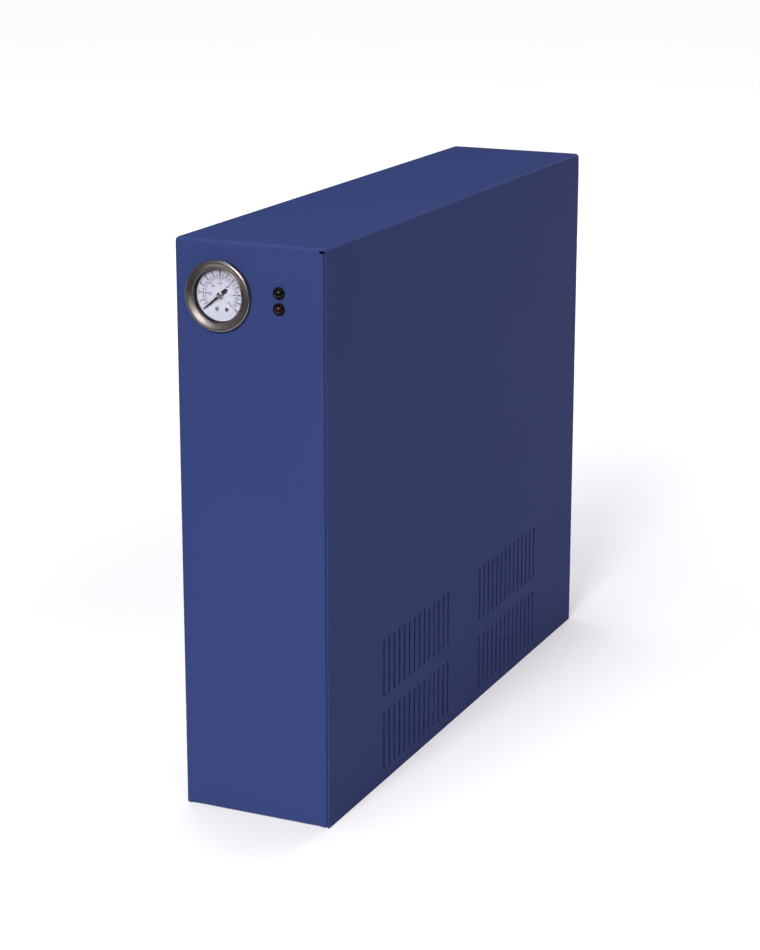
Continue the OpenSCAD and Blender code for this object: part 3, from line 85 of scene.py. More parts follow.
camera_data = bpy.data.cameras.new("camera")
camera_data.sensor_width = SENSOR_MM
camera_data.lens = FOCAL_PIXELS * SENSOR_MM / PICTURE_H
camera_data.shift_y = -CROP_PIXELS / PICTURE_H
camera = bpy.data.objects.new("camera", camera_data)
turn = Matrix((right, up, back)).transposed().to_4x4()
camera.matrix_world = Matrix.Translation(aim + back * VIEW_DISTANCE) @ turn
bpy.context.scene.collection.objects.link(camera)
bpy.context.scene.camera = camera
print("camera at", [round(c, 3) for c in camera.location], "with a lens of", round(camera_data.lens, 1), "mm")

# %% [markdown]
# Colours are written as the sRGB hex values that a colour picker shows, but shaders work in linear light, so
# one function converts them. A second one adds a node, sets it and joins it up, and every finish below is a
# few calls of it. Patterns are sized in millimetres: a texture of scale 1 repeats once a metre.

# %% Colour and node helpers
def linear(hex_colour):
    channels = [int(hex_colour[i:i + 2], 16) / 255 for i in (1, 3, 5)]
    return [c / 12.92 if c <= 0.04045 else ((c + 0.055) / 1.055) ** 2.4 for c in channels] + [1.0]


def add_node(tree, kind, settings=None, links=None):
    node = tree.nodes.new(kind)
    for name, value in (settings or {}).items():
        if name in node.inputs:
            node.inputs[name].default_value = value
        else:
            setattr(node, name, value)
    for name, socket in (links or {}).items():
        tree.links.new(socket, node.inputs[name])
    return node


def per_mm(size):
    return 1 / (size * MM)


def start_finish(name, **shader_settings):
    material = bpy.data.materials.new(name)
    material.use_nodes = True
    tree = material.node_tree
    shader = tree.nodes["Principled BSDF"]
    for socket, value in shader_settings.items():
        shader.inputs[socket.replace("_", " ")].default_value = value
    place = add_node(tree, "ShaderNodeTexCoord").outputs["Object"]
    return material, tree, shader, place


print("a mid grey in linear light:", [round(c, 3) for c in linear("#808080")[:3]])

# %% [markdown]
# A plain studio: a white table under a faint dome of light. The table glows more the further away it is, as a
# backdrop that is lit from behind does, so that it stays white. It ends a little nearer than the camera can
# see, because more of it would only show as glare in the gauge's window. A softbox high on the right draws
# the streak on the gauge ring, two more keep the top and the back clear, and the main light, near the camera,
# puts the bright dot on each pilot lamp and leaves the right side a shade darker than the front.

# %% The floor
FLOOR_HALF = 40.0
FLOOR_FRONT = 0.8
FLOOR_TILES = 8
GLOW_NEAR = 0.1
GLOW_FAR = 0.8
GLOW_REACH = (0.5, 2.6)
PAPER_MOTTLE_MM = 400

floor_mesh = bpy.data.meshes.new("studio_floor")
floor_bm = bmesh.new()
bmesh.ops.create_grid(floor_bm, x_segments=FLOOR_TILES, y_segments=FLOOR_TILES, size=FLOOR_HALF)
floor_bm.to_mesh(floor_mesh)
floor_bm.free()
floor = bpy.data.objects.new("studio_floor", floor_mesh)
floor.location = (0, FLOOR_HALF - FLOOR_FRONT, cabinet_low.z)
bpy.context.scene.collection.objects.link(floor)

floor_paper, tree, shader, place = start_finish("white_table", Roughness=0.9)
mottle = add_node(tree, "ShaderNodeTexNoise", {"Scale": per_mm(PAPER_MOTTLE_MM)}, {"Vector": place})
paper = add_node(tree, "ShaderNodeMixRGB", {"Color1": linear("#fafafa"), "Color2": linear("#fcfcfb")},
                 {"Fac": mottle.outputs["Fac"]})
tree.links.new(paper.outputs["Color"], shader.inputs["Base Color"])
tree.links.new(paper.outputs["Color"], shader.inputs["Emission Color"])
spot = add_node(tree, "ShaderNodeNewGeometry").outputs["Position"]
away = add_node(tree, "ShaderNodeVectorMath", {"operation": "LENGTH"}, {"Vector": spot})
glow = add_node(tree, "ShaderNodeMapRange",
                {"From Min": GLOW_REACH[0], "From Max": GLOW_REACH[1],
                 "To Min": GLOW_NEAR, "To Max": GLOW_FAR},
                {"Value": away.outputs["Value"]})
tree.links.new(glow.outputs["Result"], shader.inputs["Emission Strength"])
floor_mesh.materials.append(floor_paper)
print("floor", 2 * FLOOR_HALF, "m square")

# %% The lights
def soft_light(name, place, size, watts, colour):
    data = bpy.data.lights.new(name, "AREA")
    data.shape = "RECTANGLE"
    data.size, data.size_y = size
    data.energy = watts
    data.color = linear(colour)[:3]
    lamp = bpy.data.objects.new(name, data)
    lamp.location = place
    lamp.rotation_euler = (cabinet_middle - Vector(place)).to_track_quat("-Z", "Y").to_euler()
    bpy.context.scene.collection.objects.link(lamp)
    return lamp


soft_light("right_softbox", place=(1.3, -1.3, 1.95), size=(0.8, 0.9), watts=8, colour="#ffe6ee")
soft_light("top_softbox", place=(-0.2, 0.4, 3.2), size=(1.2, 1.2), watts=41, colour="#eef3ff")
soft_light("back_softbox", place=(0.4, 2.5, 1.6), size=(1.0, 1.0), watts=14, colour="#ffeef4")
soft_light("catch_light", place=(0.25, -2.3, 1.55), size=(0.9, 0.9), watts=56, colour="#ffffff")

BRIGHT_SIDE = (-0.62, -0.62, 0.48)
BRIGHT_FROM = -0.55
BRIGHT_TO = 0.8
HORIZON_FROM = -0.25
HORIZON_TO = 0.05
DOME_STRENGTH = 0.3

world = bpy.data.worlds.new("studio")
world.use_nodes = True
sky = world.node_tree
direction = add_node(sky, "ShaderNodeTexCoord").outputs["Generated"]
facing = add_node(sky, "ShaderNodeVectorMath", {"operation": "DOT_PRODUCT"})
sky.links.new(direction, facing.inputs[0])
facing.inputs[1].default_value = BRIGHT_SIDE
fall = add_node(sky, "ShaderNodeMapRange",
                {"From Min": BRIGHT_FROM, "From Max": BRIGHT_TO, "interpolation_type": "SMOOTHSTEP"},
                {"Value": facing.outputs["Value"]})
height = add_node(sky, "ShaderNodeSeparateXYZ", None, {"Vector": direction}).outputs["Z"]
above = add_node(sky, "ShaderNodeMapRange",
                 {"From Min": HORIZON_FROM, "From Max": HORIZON_TO, "interpolation_type": "SMOOTHSTEP"},
                 {"Value": height})
shine = add_node(sky, "ShaderNodeMath", {"operation": "MULTIPLY"})
sky.links.new(fall.outputs["Result"], shine.inputs[0])
sky.links.new(above.outputs["Result"], shine.inputs[1])
dome = add_node(sky, "ShaderNodeMixRGB", {"Color1": linear("#4a443e"), "Color2": linear("#ffffff")},
                {"Fac": shine.outputs["Value"]})
light = sky.nodes["Background"]
light.inputs["Strength"].default_value = DOME_STRENGTH
sky.links.new(dome.outputs["Color"], light.inputs["Color"])
backdrop = add_node(sky, "ShaderNodeBackground", {"Color": linear("#ffffff")})
ray = add_node(sky, "ShaderNodeLightPath")
seen = add_node(sky, "ShaderNodeMixShader", None, {"Fac": ray.outputs["Is Camera Ray"]})
sky.links.new(light.outputs["Background"], seen.inputs[1])
sky.links.new(backdrop.outputs["Background"], seen.inputs[2])
sky.links.new(seen.outputs["Shader"], sky.nodes["World Output"].inputs["Surface"])
bpy.context.scene.world = world
bpy.context.scene.view_settings.view_transform = "Standard"

# %% [markdown]
# Real surfaces are never one even colour. Each finish below starts from a pattern at its real size and lays
# it into the shader in up to three ways: as two close tones, as a range of roughness and as a small relief.
# Doing that in one function keeps each finish down to what is particular to it.

# %% Laying a pattern into a finish
def lay_pattern(tree, shader, pattern, tones=None, gloss=None, relief_mm=None):
    if tones:
        blend = add_node(tree, "ShaderNodeMixRGB", {"Color1": linear(tones[0]), "Color2": linear(tones[1])},
                         {"Fac": pattern})
        tree.links.new(blend.outputs["Color"], shader.inputs["Base Color"])
    if gloss:
        span = add_node(tree, "ShaderNodeMapRange", {"To Min": gloss[0], "To Max": gloss[1]},
                        {"Value": pattern})
        tree.links.new(span.outputs["Result"], shader.inputs["Roughness"])
    if relief_mm:
        relief = add_node(tree, "ShaderNodeBump", {"Distance": relief_mm * MM}, {"Height": pattern})
        tree.links.new(relief.outputs["Normal"], shader.inputs["Normal"])


finish = {}

# %% [markdown]
# Powder coat is dry polyester paint, sprayed on with a static charge and baked until it flows. It gives the
# eye an even, flat blue with a faint orange peel. The peel could be modelled, but at a few hundredths of a
# millimetre a bump is truer and costs nothing. The specular level is far below the usual half, because the
# blue in the photograph is matt and shows no reflection of the white table round it.

# %% Powder-coated steel
PEEL_MM = 2.2
COAT_DRIFT_MM = 160

finish["powder_coat"], tree, shader, place = start_finish("powder_coated_steel", IOR=1.5,
                                                          Specular_IOR_Level=0.03)
drift = add_node(tree, "ShaderNodeTexNoise", {"Scale": per_mm(COAT_DRIFT_MM), "Detail": 1.0},
                 {"Vector": place})
peel = add_node(tree, "ShaderNodeTexNoise", {"Scale": per_mm(PEEL_MM), "Detail": 1.0}, {"Vector": place})
lay_pattern(tree, shader, drift.outputs["Fac"], tones=("#303c6b", "#333f70"))
lay_pattern(tree, shader, peel.outputs["Fac"], gloss=(0.54, 0.64), relief_mm=0.02)
print(finish["powder_coat"].name, "with a peel of", PEEL_MM, "mm")

# %% [markdown]
# The base pan and the brackets are galvanised sheet: steel dipped in zinc, which freezes into flat crystals
# called spangle. Each crystal mirrors the light its own way, so a cell pattern gives every cell its own grey
# and its own roughness.

# %% Galvanised steel
SPANGLE_MM = 9

finish["galvanised_steel"], tree, shader, place = start_finish("galvanised_steel", Metallic=1.0)
spangle = add_node(tree, "ShaderNodeTexVoronoi", {"Scale": per_mm(SPANGLE_MM)}, {"Vector": place})
lay_pattern(tree, shader, spangle.outputs["Color"], tones=("#8b9093", "#b3b7b9"), gloss=(0.34, 0.55))
print(finish["galvanised_steel"].name, "with a spangle of", SPANGLE_MM, "mm")

# %% [markdown]
# Screws, nuts and studs are zinc plated: a thin bright coat, a little blue from its passivation, dulled in
# patches where hands and drivers have touched it. A small noise is enough for that.

# %% Zinc-plated steel
PLATE_PATCH_MM = 3

finish["zinc_plate"], tree, shader, place = start_finish("zinc_plated_steel", Metallic=1.0)
patch = add_node(tree, "ShaderNodeTexNoise", {"Scale": per_mm(PLATE_PATCH_MM)}, {"Vector": place})
lay_pattern(tree, shader, patch.outputs["Fac"], tones=("#b4b9be", "#d2d3d0"), gloss=(0.2, 0.36))
print(finish["zinc_plate"].name)

# %% [markdown]
# The separator head is sand-cast aluminium, dull and slightly pitted from the mould. The heat exchanger core
# is brazed aluminium and looks much the same, so both share this grain.

# %% Cast aluminium
SAND_MM = 1.2

finish["cast_aluminium"], tree, shader, place = start_finish("cast_aluminium", Metallic=1.0)
sand = add_node(tree, "ShaderNodeTexNoise", {"Scale": per_mm(SAND_MM), "Detail": 3.0}, {"Vector": place})
lay_pattern(tree, shader, sand.outputs["Fac"],
            tones=("#9fa2a4", "#bdbfbf"), gloss=(0.42, 0.6), relief_mm=0.15)
print(finish["cast_aluminium"].name, "with a grain of", SAND_MM, "mm")

# %% [markdown]
# Condenser fins and the fan wheel are rolled aluminium sheet. Rolling leaves long faint lines, so the noise
# is stretched along the height of the sheet until it turns to streaks.

# %% Rolled aluminium
ROLL_LINE_MM = 0.8
ROLL_STRETCH = 0.04

finish["fin_aluminium"], tree, shader, place = start_finish("rolled_aluminium", Metallic=1.0)
along = add_node(tree, "ShaderNodeMapping", {"Scale": (1, 1, ROLL_STRETCH)}, {"Vector": place})
lines = add_node(tree, "ShaderNodeTexNoise", {"Scale": per_mm(ROLL_LINE_MM)},
                 {"Vector": along.outputs["Vector"]})
lay_pattern(tree, shader, lines.outputs["Fac"], tones=("#b0b4b7", "#d5d8da"), gloss=(0.25, 0.42))
print(finish["fin_aluminium"].name)

# %% [markdown]
# The exchanger sits in two halves of expanded polystyrene. Seen close, that is thousands of beads pressed
# together, so a cell pattern of bead size gives both the tone and the soft dimples.

# %% Expanded polystyrene
BEAD_MM = 4

finish["foam"], tree, shader, place = start_finish("expanded_polystyrene", IOR=1.4, Roughness=0.85)
beads = add_node(tree, "ShaderNodeTexVoronoi", {"Scale": per_mm(BEAD_MM)}, {"Vector": place})
lay_pattern(tree, shader, beads.outputs["Distance"], tones=("#ecece6", "#d5d5cd"), relief_mm=-0.6)
print(finish["foam"].name, "with beads of", BEAD_MM, "mm")

# %% [markdown]
# The ports, their locknuts and the valves are turned brass. Fresh from the lathe it is warm and bright, and
# it browns in soft patches where it has been handled.

# %% Turned brass
TARNISH_MM = 7
TOOL_MARK_MM = 0.5

finish["brass"], tree, shader, place = start_finish("turned_brass", Metallic=1.0)
tarnish = add_node(tree, "ShaderNodeTexNoise", {"Scale": per_mm(TARNISH_MM), "Detail": 3.0},
                   {"Vector": place})
across = add_node(tree, "ShaderNodeMapping", {"Scale": (ROLL_STRETCH, 1, ROLL_STRETCH)}, {"Vector": place})
marks = add_node(tree, "ShaderNodeTexNoise", {"Scale": per_mm(TOOL_MARK_MM)},
                 {"Vector": across.outputs["Vector"]})
lay_pattern(tree, shader, tarnish.outputs["Fac"], tones=("#a5803f", "#cdab66"), gloss=(0.2, 0.36))
lay_pattern(tree, shader, marks.outputs["Fac"], relief_mm=0.02)
print(finish["brass"].name)

# %% [markdown]
# Refrigerant lines are drawn copper, bent by hand and brazed. Heat and fingers leave darker, duller stretches
# along the bright pink metal.

# %% Drawn copper
OXIDE_MM = 22

finish["copper"], tree, shader, place = start_finish("drawn_copper", Metallic=1.0)
oxide = add_node(tree, "ShaderNodeTexNoise", {"Scale": per_mm(OXIDE_MM), "Detail": 4.0}, {"Vector": place})
lay_pattern(tree, shader, oxide.outputs["Fac"], tones=("#8a4c30", "#cf9270"), gloss=(0.2, 0.45))
print(finish["copper"].name)

# %% [markdown]
# The water separator's bowl and the drain hose are clear mouldings, polycarbonate and soft nylon. They let
# light through with only a slight haze, which changes a little from place to place.

# %% Clear polycarbonate
HAZE_MM = 12

finish["bowl_plastic"], tree, shader, place = start_finish("clear_polycarbonate", IOR=1.58,
                                                           Transmission_Weight=0.92)
haze = add_node(tree, "ShaderNodeTexNoise", {"Scale": per_mm(HAZE_MM)}, {"Vector": place})
lay_pattern(tree, shader, haze.outputs["Fac"], tones=("#dfe8ea", "#f1f4f3"), gloss=(0.06, 0.16))
print(finish["bowl_plastic"].name)

# %% [markdown]
# The drain float and the terminal block are white engineering plastic, a little waxy, with the fine grain of
# the mould.

# %% White acetal
ACETAL_GRAIN_MM = 0.9

finish["float_plastic"], tree, shader, place = start_finish("white_acetal", IOR=1.48)
grain = add_node(tree, "ShaderNodeTexNoise", {"Scale": per_mm(ACETAL_GRAIN_MM)}, {"Vector": place})
lay_pattern(tree, shader, grain.outputs["Fac"],
            tones=("#e2e0d8", "#efeee8"), gloss=(0.34, 0.46), relief_mm=0.02)
print(finish["float_plastic"].name)

# %% [markdown]
# The compressor can, the fan motor and its shroud are stove enamelled: thick black gloss paint with a wavier
# surface than powder coat.

# %% Black stove enamel
ENAMEL_WAVE_MM = 3.5

finish["black_enamel"], tree, shader, place = start_finish("black_stove_enamel", IOR=1.52, Coat_Weight=0.3)
wave = add_node(tree, "ShaderNodeTexNoise", {"Scale": per_mm(ENAMEL_WAVE_MM)}, {"Vector": place})
lay_pattern(tree, shader, wave.outputs["Fac"],
            tones=("#0c0c0d", "#161617"), gloss=(0.2, 0.32), relief_mm=0.05)
print(finish["black_enamel"].name)

# %% [markdown]
# Lamp rims, the switch and the cable gland are black ABS and nylon from moulds with a spark-eroded texture:
# tiny pits that turn a glossy plastic half matt. The real pits are a few tenths of a millimetre wide, and are
# drawn a little coarser so that they show.

# %% Black ABS
SPARK_PIT_MM = 0.7

finish["black_plastic"], tree, shader, place = start_finish("black_abs", IOR=1.54, Specular_IOR_Level=0.06)
pits = add_node(tree, "ShaderNodeTexVoronoi", {"Scale": per_mm(SPARK_PIT_MM)}, {"Vector": place})
lay_pattern(tree, shader, pits.outputs["Distance"],
            tones=("#08080a", "#121214"), gloss=(0.34, 0.5), relief_mm=0.03)
print(finish["black_plastic"].name)

# %% [markdown]
# Grommets and the gauge's sealing ring are moulded nitrile rubber, the dullest and blackest thing on the
# object, with a slight bloom.

# %% Nitrile rubber
BLOOM_MM = 5

finish["rubber"], tree, shader, place = start_finish("nitrile_rubber", IOR=1.52, Specular_IOR_Level=0.2)
bloom = add_node(tree, "ShaderNodeTexNoise", {"Scale": per_mm(BLOOM_MM), "Detail": 4.0}, {"Vector": place})
lay_pattern(tree, shader, bloom.outputs["Fac"],
            tones=("#070707", "#100f0f"), gloss=(0.62, 0.82), relief_mm=0.04)
print(finish["rubber"].name)

# %% [markdown]
# The fan shaft is ground steel. Grinding runs round the shaft, which lies along X, so the noise is stretched
# round it and kept fine along it.

# %% Ground steel
GRIND_MM = 0.4

finish["bright_steel"], tree, shader, place = start_finish("ground_steel", Metallic=1.0)
around = add_node(tree, "ShaderNodeMapping", {"Scale": (1, ROLL_STRETCH, ROLL_STRETCH)}, {"Vector": place})
grind = add_node(tree, "ShaderNodeTexNoise", {"Scale": per_mm(GRIND_MM)},
                 {"Vector": around.outputs["Vector"]})
lay_pattern(tree, shader, grind.outputs["Fac"], tones=("#b5b8ba", "#d0d2d3"), gloss=(0.14, 0.28))
print(finish["bright_steel"].name)

# %% [markdown]
# The gauge ring is stainless steel, spun to shape and buffed. It is a soft mirror with a slightly warm cast,
# and the buffing wheel leaves faint smears that make it softer in places.

# %% Buffed stainless steel
BUFF_SMEAR_MM = 6

finish["polished_steel"], tree, shader, place = start_finish("buffed_stainless_steel", Metallic=1.0)
smear = add_node(tree, "ShaderNodeTexNoise", {"Scale": per_mm(BUFF_SMEAR_MM), "Detail": 3.0},
                 {"Vector": place})
lay_pattern(tree, shader, smear.outputs["Fac"], tones=("#77706d", "#8f8885"), gloss=(0.28, 0.38))
print(finish["polished_steel"].name)

# %% [markdown]
# The window is a flat disc of float glass. Glass alone would keep the lamps off the dial behind it, because
# light reaches a surface through glass only by chance, so shadow rays pass it as if it were open.

# %% Window glass
DUST_MM = 9

finish["window_glass"], tree, shader, place = start_finish("float_glass", IOR=1.52, Transmission_Weight=1.0)
dust = add_node(tree, "ShaderNodeTexNoise", {"Scale": per_mm(DUST_MM), "Detail": 4.0}, {"Vector": place})
lay_pattern(tree, shader, dust.outputs["Fac"], tones=("#fafaff", "#ffffff"), gloss=(0.0, 0.03))
ray = add_node(tree, "ShaderNodeLightPath")
clear = add_node(tree, "ShaderNodeBsdfTransparent")
pane = add_node(tree, "ShaderNodeMixShader", None, {"Fac": ray.outputs["Is Shadow Ray"]})
tree.links.new(shader.outputs["BSDF"], pane.inputs[1])
tree.links.new(clear.outputs["BSDF"], pane.inputs[2])
tree.links.new(pane.outputs["Shader"], tree.nodes["Material Output"].inputs["Surface"])
print(finish["window_glass"].name)

# %% [markdown]
# The dial is aluminium sheet under white enamel, silk-screened with black and red ink. The enamel is smooth
# and faintly blue behind the glass, and the ink lies on it as a thin matt film. The main light falls straight
# on the dial, so the enamel is mixed as a pale grey, which the light brings up to white.

# %% White dial enamel
ENAMEL_MOTTLE_MM = 14

finish["dial_enamel"], tree, shader, place = start_finish("white_dial_enamel", IOR=1.5)
mottle = add_node(tree, "ShaderNodeTexNoise", {"Scale": per_mm(ENAMEL_MOTTLE_MM)}, {"Vector": place})
lay_pattern(tree, shader, mottle.outputs["Fac"], tones=("#9c9da9", "#a4a5b0"), gloss=(0.34, 0.46))
print(finish["dial_enamel"].name)

# %% Screen-printing ink
INK_GRAIN_MM = 0.5


def printing_ink(name, dark, light):
    material, tree, shader, place = start_finish(name, IOR=1.5)
    grain = add_node(tree, "ShaderNodeTexNoise", {"Scale": per_mm(INK_GRAIN_MM)}, {"Vector": place})
    lay_pattern(tree, shader, grain.outputs["Fac"], tones=(dark, light), gloss=(0.5, 0.66))
    return material


black_ink = printing_ink("black_screen_ink", "#121213", "#1e1e20")
red_ink = printing_ink("red_screen_ink", "#33191c", "#432629")
white_ink = printing_ink("white_screen_ink", "#dcdcd8", "#ececea")
print(black_ink.name, red_ink.name, white_ink.name)

# %% [markdown]
# The pointer is stamped from thin aluminium and painted satin black, so it is a little smoother than the ink
# round it.

# %% Satin black paint
PAINT_MM = 1.5

finish["pointer_black"], tree, shader, place = start_finish("satin_black_paint", IOR=1.5)
brush = add_node(tree, "ShaderNodeTexNoise", {"Scale": per_mm(PAINT_MM)}, {"Vector": place})
lay_pattern(tree, shader, brush.outputs["Fac"], tones=("#0e0e0f", "#19191a"), gloss=(0.3, 0.42))
print(finish["pointer_black"].name)

# %% [markdown]
# The pilot lamps are off. Their lenses are dyed acrylic over a dark bulb holder, so they look almost black,
# with one sharp highlight on the dome. Over the middle the dye is painted lighter, a painted glow of the
# light that passes through the dome, and it fades to the dark tone towards the rim.

# %% Dyed acrylic lenses
GLOW_CORE_MM = 1.0
RIM_MM = 4.5


def dyed_acrylic(name, node, painted_glow, at_rim):
    low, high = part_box(node)
    crown = Vector(((low.x + high.x) / 2, low.y, (low.z + high.z) / 2))
    material, tree, shader, place = start_finish(name, IOR=1.49, Specular_IOR_Level=0.2)
    out = add_node(tree, "ShaderNodeVectorMath", {"operation": "DISTANCE"})
    tree.links.new(place, out.inputs[0])
    out.inputs[1].default_value = crown
    # Painted glow: the tone is lighter within a small core round the crown and fades to the rim tone.
    glow_fade = add_node(tree, "ShaderNodeMapRange", {"From Min": GLOW_CORE_MM * MM, "From Max": RIM_MM * MM},
                    {"Value": out.outputs["Value"]})
    lay_pattern(tree, shader, glow_fade.outputs["Result"], tones=(painted_glow, at_rim), gloss=(0.02, 0.06))
    return material


finish["green_lens"] = dyed_acrylic("green_acrylic", "power_lamp_lens", "#070c08", "#010202")
finish["red_lens"] = dyed_acrylic("red_acrylic", "alarm_lamp_lens", "#2c1204", "#080203")
print(finish["green_lens"].name, finish["red_lens"].name)

# %% [markdown]
# The control box is grey moulded ABS with the same spark texture as the black parts, only paler, so its pits
# show more as shading than as colour.

# %% Grey ABS
finish["grey_plastic"], tree, shader, place = start_finish("grey_abs", IOR=1.54)
pits = add_node(tree, "ShaderNodeTexVoronoi", {"Scale": per_mm(SPARK_PIT_MM)}, {"Vector": place})
lay_pattern(tree, shader, pits.outputs["Distance"],
            tones=("#8d9294", "#a2a6a8"), gloss=(0.42, 0.56), relief_mm=0.03)
print(finish["grey_plastic"].name)

# %% [markdown]
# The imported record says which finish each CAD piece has, so one loop dresses them all. Only the material slot
# changes: the shapes stay exactly as the CAD made them.

# %% Dressing the CAD pieces
for part in frame["record"]["subparts"]:
    skin = nodes[part["node"]].data.materials
    skin.clear()
    skin.append(finish[part["material_slot"]])

# %% [markdown]
# Now the pieces that are too fine for the CAD. Each is built as a closed mesh in millimetres on a flat bench,
# stood where it belongs by one matrix, and then tied to the body that carries it, so that it moves when that
# body moves. Most are a profile turned on a lathe or a row of sections joined one to the next. Points on the
# lathe's axis are shared by all its steps, so that a disc closes without a hole or a sliver.

# %% Making and fixing a piece
SHARP_EDGE = math.radians(35)


def fix_piece(name, bm, stand, skin, body):
    bmesh.ops.recalc_face_normals(bm, faces=bm.faces)
    mesh = bpy.data.meshes.new(name)
    bm.to_mesh(mesh)
    bm.free()
    mesh.transform(stand @ Matrix.Scale(MM, 4))
    mesh.shade_smooth()
    mesh.set_sharp_from_angle(angle=SHARP_EDGE)
    mesh.materials.append(skin)
    piece = bpy.data.objects.new(name, mesh)
    bpy.context.scene.collection.objects.link(piece)
    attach(piece, body)
    print(name, "on", body, "with", len(mesh.polygons), "faces")
    return piece


def turn_on_lathe(bm, profile, steps, centre=(0, 0)):
    poles = {h: bm.verts.new((*centre, h)) for r, h in profile if r == 0}
    rings = []
    for step in range(steps):
        angle = 2 * math.pi * step / steps
        cos, sin = math.cos(angle), math.sin(angle)
        rings.append([poles[h] if r == 0 else bm.verts.new((centre[0] + r * cos, centre[1] + r * sin, h))
                      for r, h in profile])
    for step in range(steps):
        here, there = rings[step], rings[(step + 1) % steps]
        for i in range(len(profile)):
            j = (i + 1) % len(profile)
            corners = list(dict.fromkeys((here[i], there[i], there[j], here[j])))
            if len(corners) > 2:
                bm.faces.new(corners)


def join_sections(bm, sections):
    for here, there in zip(sections, sections[1:]):
        for i in range(len(here)):
            j = (i + 1) % len(here)
            bm.faces.new((here[i], there[i], there[j], here[j]))
    bm.faces.new(sections[0])
    bm.faces.new(sections[-1])


def add_bar(bm, low, high, place=Matrix.Identity(4)):
    size = [b - a for a, b in zip(low, high)]
    middle = [(a + b) / 2 for a, b in zip(low, high)]
    bmesh.ops.create_cube(bm, matrix=place @ Matrix.Translation(middle) @ Matrix.Diagonal((*size, 1)))


def arc(centre_r, centre_h, radius, start, end, steps):
    angles = [math.radians(start + (end - start) * i / steps) for i in range(steps + 1)]
    return [(centre_r + radius * math.cos(a), centre_h + radius * math.sin(a)) for a in angles]


# %% [markdown]
# The gauge's face stands in a plane that looks out of the front. One matrix takes the bench to that plane,
# with Y of the bench up and Z out towards the viewer, so the dial can be laid out like a drawing. The sweep
# of the scale is the pointer's own travel, read from its joint.

# %% The plane of the dial
dial_low, dial_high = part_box("gauge_dial")
dial_middle = (dial_low + dial_high) / 2
needle_joint = next(j for j in frame["joints"] if j["name"] == "gauge_needle_turn")
SWEEP = needle_joint["range_deg"][1]
SCALE_START = 180 + (360 - SWEEP) / 2


def out_of_front(y):
    return Matrix.Translation((dial_middle.x, y, dial_middle.z)) @ Matrix.Rotation(math.radians(90), 4, "X")


def dial_turn(share):
    return math.radians(SCALE_START + SWEEP * share)


print("scale sweeps", SWEEP, "degrees")

# %% [markdown]
# A screen print is a film of ink. It could be painted in the shader, but then it blurs with the texture. As
# thin solid marks it stays sharp at any distance. The outer scale counts to 12 with a long mark at every
# number, and the inner one counts to 1.2 in red, as gauges for two units of pressure do. The numbers are made
# a little bolder than the font, and each is welded into one closed solid.

# %% The printed scales
INK_T = 0.06
NUMBER_SWELL = 0.04
NUMBER_SMOOTH = 3
NUMBER_WELD = 0.001
LINE_STEPS = 96
OUTER_SCALE = {"top": 12, "numbers": 12, "marks": 24, "number_size": 3.6, "number_r": 21.6,
               "foot_r": 17.2, "long_r": 20.2, "long_w": 0.9, "short_r": 18.5, "short_w": 0.55,
               "line_r": 17.1, "line_w": 0.4}
INNER_SCALE = {"top": 1.2, "numbers": 6, "marks": 24, "number_size": 2.6, "number_r": 10.4,
               "foot_r": 15.4, "long_r": 12.4, "long_w": 0.8, "short_r": 14.2, "short_w": 0.5,
               "line_r": 15.5, "line_w": 0.3}


def add_number(bm, text, size, share, radius):
    curve = bpy.data.curves.new("number", "FONT")
    curve.body = text
    curve.size = size
    curve.align_x = "CENTER"
    curve.align_y = "CENTER"
    curve.extrude = INK_T / 2
    curve.offset = NUMBER_SWELL * size
    curve.resolution_u = NUMBER_SMOOTH
    holder = bpy.data.objects.new("number", curve)
    bpy.context.scene.collection.objects.link(holder)
    mesh = bpy.data.meshes.new_from_object(holder.evaluated_get(bpy.context.evaluated_depsgraph_get()))
    number_bm = bmesh.new()
    number_bm.from_mesh(mesh)
    bmesh.ops.remove_doubles(number_bm, verts=number_bm.verts, dist=NUMBER_WELD)
    number_bm.to_mesh(mesh)
    number_bm.free()
    angle = dial_turn(share)
    mesh.transform(Matrix.Translation((radius * math.sin(angle), radius * math.cos(angle), INK_T / 2)))
    bm.from_mesh(mesh)
    bpy.data.objects.remove(holder)
    bpy.data.curves.remove(curve)
    bpy.data.meshes.remove(mesh)


def add_mark(bm, share, inner, outer, width):
    add_bar(bm, (-width / 2, inner, 0), (width / 2, outer, INK_T), Matrix.Rotation(-dial_turn(share), 4, "Z"))


def add_line(bm, radius, width):
    corners = [(radius - width / 2, 0), (radius + width / 2, 0),
               (radius + width / 2, INK_T), (radius - width / 2, INK_T)]
    sections = []
    for step in range(LINE_STEPS + 1):
        angle = dial_turn(step / LINE_STEPS)
        sections.append([bm.verts.new((r * math.sin(angle), r * math.cos(angle), h)) for r, h in corners])
    join_sections(bm, sections)


def print_scale(name, scale, ink):
    bm = bmesh.new()
    for i in range(scale["marks"] + 1):
        length = "short" if i % (scale["marks"] // scale["numbers"]) else "long"
        inner, outer = sorted((scale["foot_r"], scale[length + "_r"]))
        add_mark(bm, i / scale["marks"], inner, outer, scale[length + "_w"])
    for i in range(scale["numbers"] + 1):
        share = i / scale["numbers"]
        add_number(bm, f"{scale['top'] * share:g}", scale["number_size"], share, scale["number_r"])
    add_line(bm, scale["line_r"], scale["line_w"])
    fix_piece(name, bm, out_of_front(dial_low.y), ink, "cabinet")


print_scale("dial_outer_scale", OUTER_SCALE, black_ink)
print_scale("dial_inner_scale", INNER_SCALE, red_ink)

# %% [markdown]
# Two small slotted screws below the spindle hold the dial to the movement. Each is a low turned disc with two
# raised halves on it, and the gap between the halves is the slot, which is how a real one is sawn.

# %% The dial screws
SCREW_R = 1.9
SCREW_SEAT = 0.35
SCREW_TOP = 0.9
SCREW_CROWN = 0.86
SCREW_STEPS = 24
SLOT_HALF = 0.28
SLOT_STEPS = 10
SCREW_PLACES = [(-3.4, -12.5), (6.2, -12.5)]
SCREW_TURNS = [65, 50]

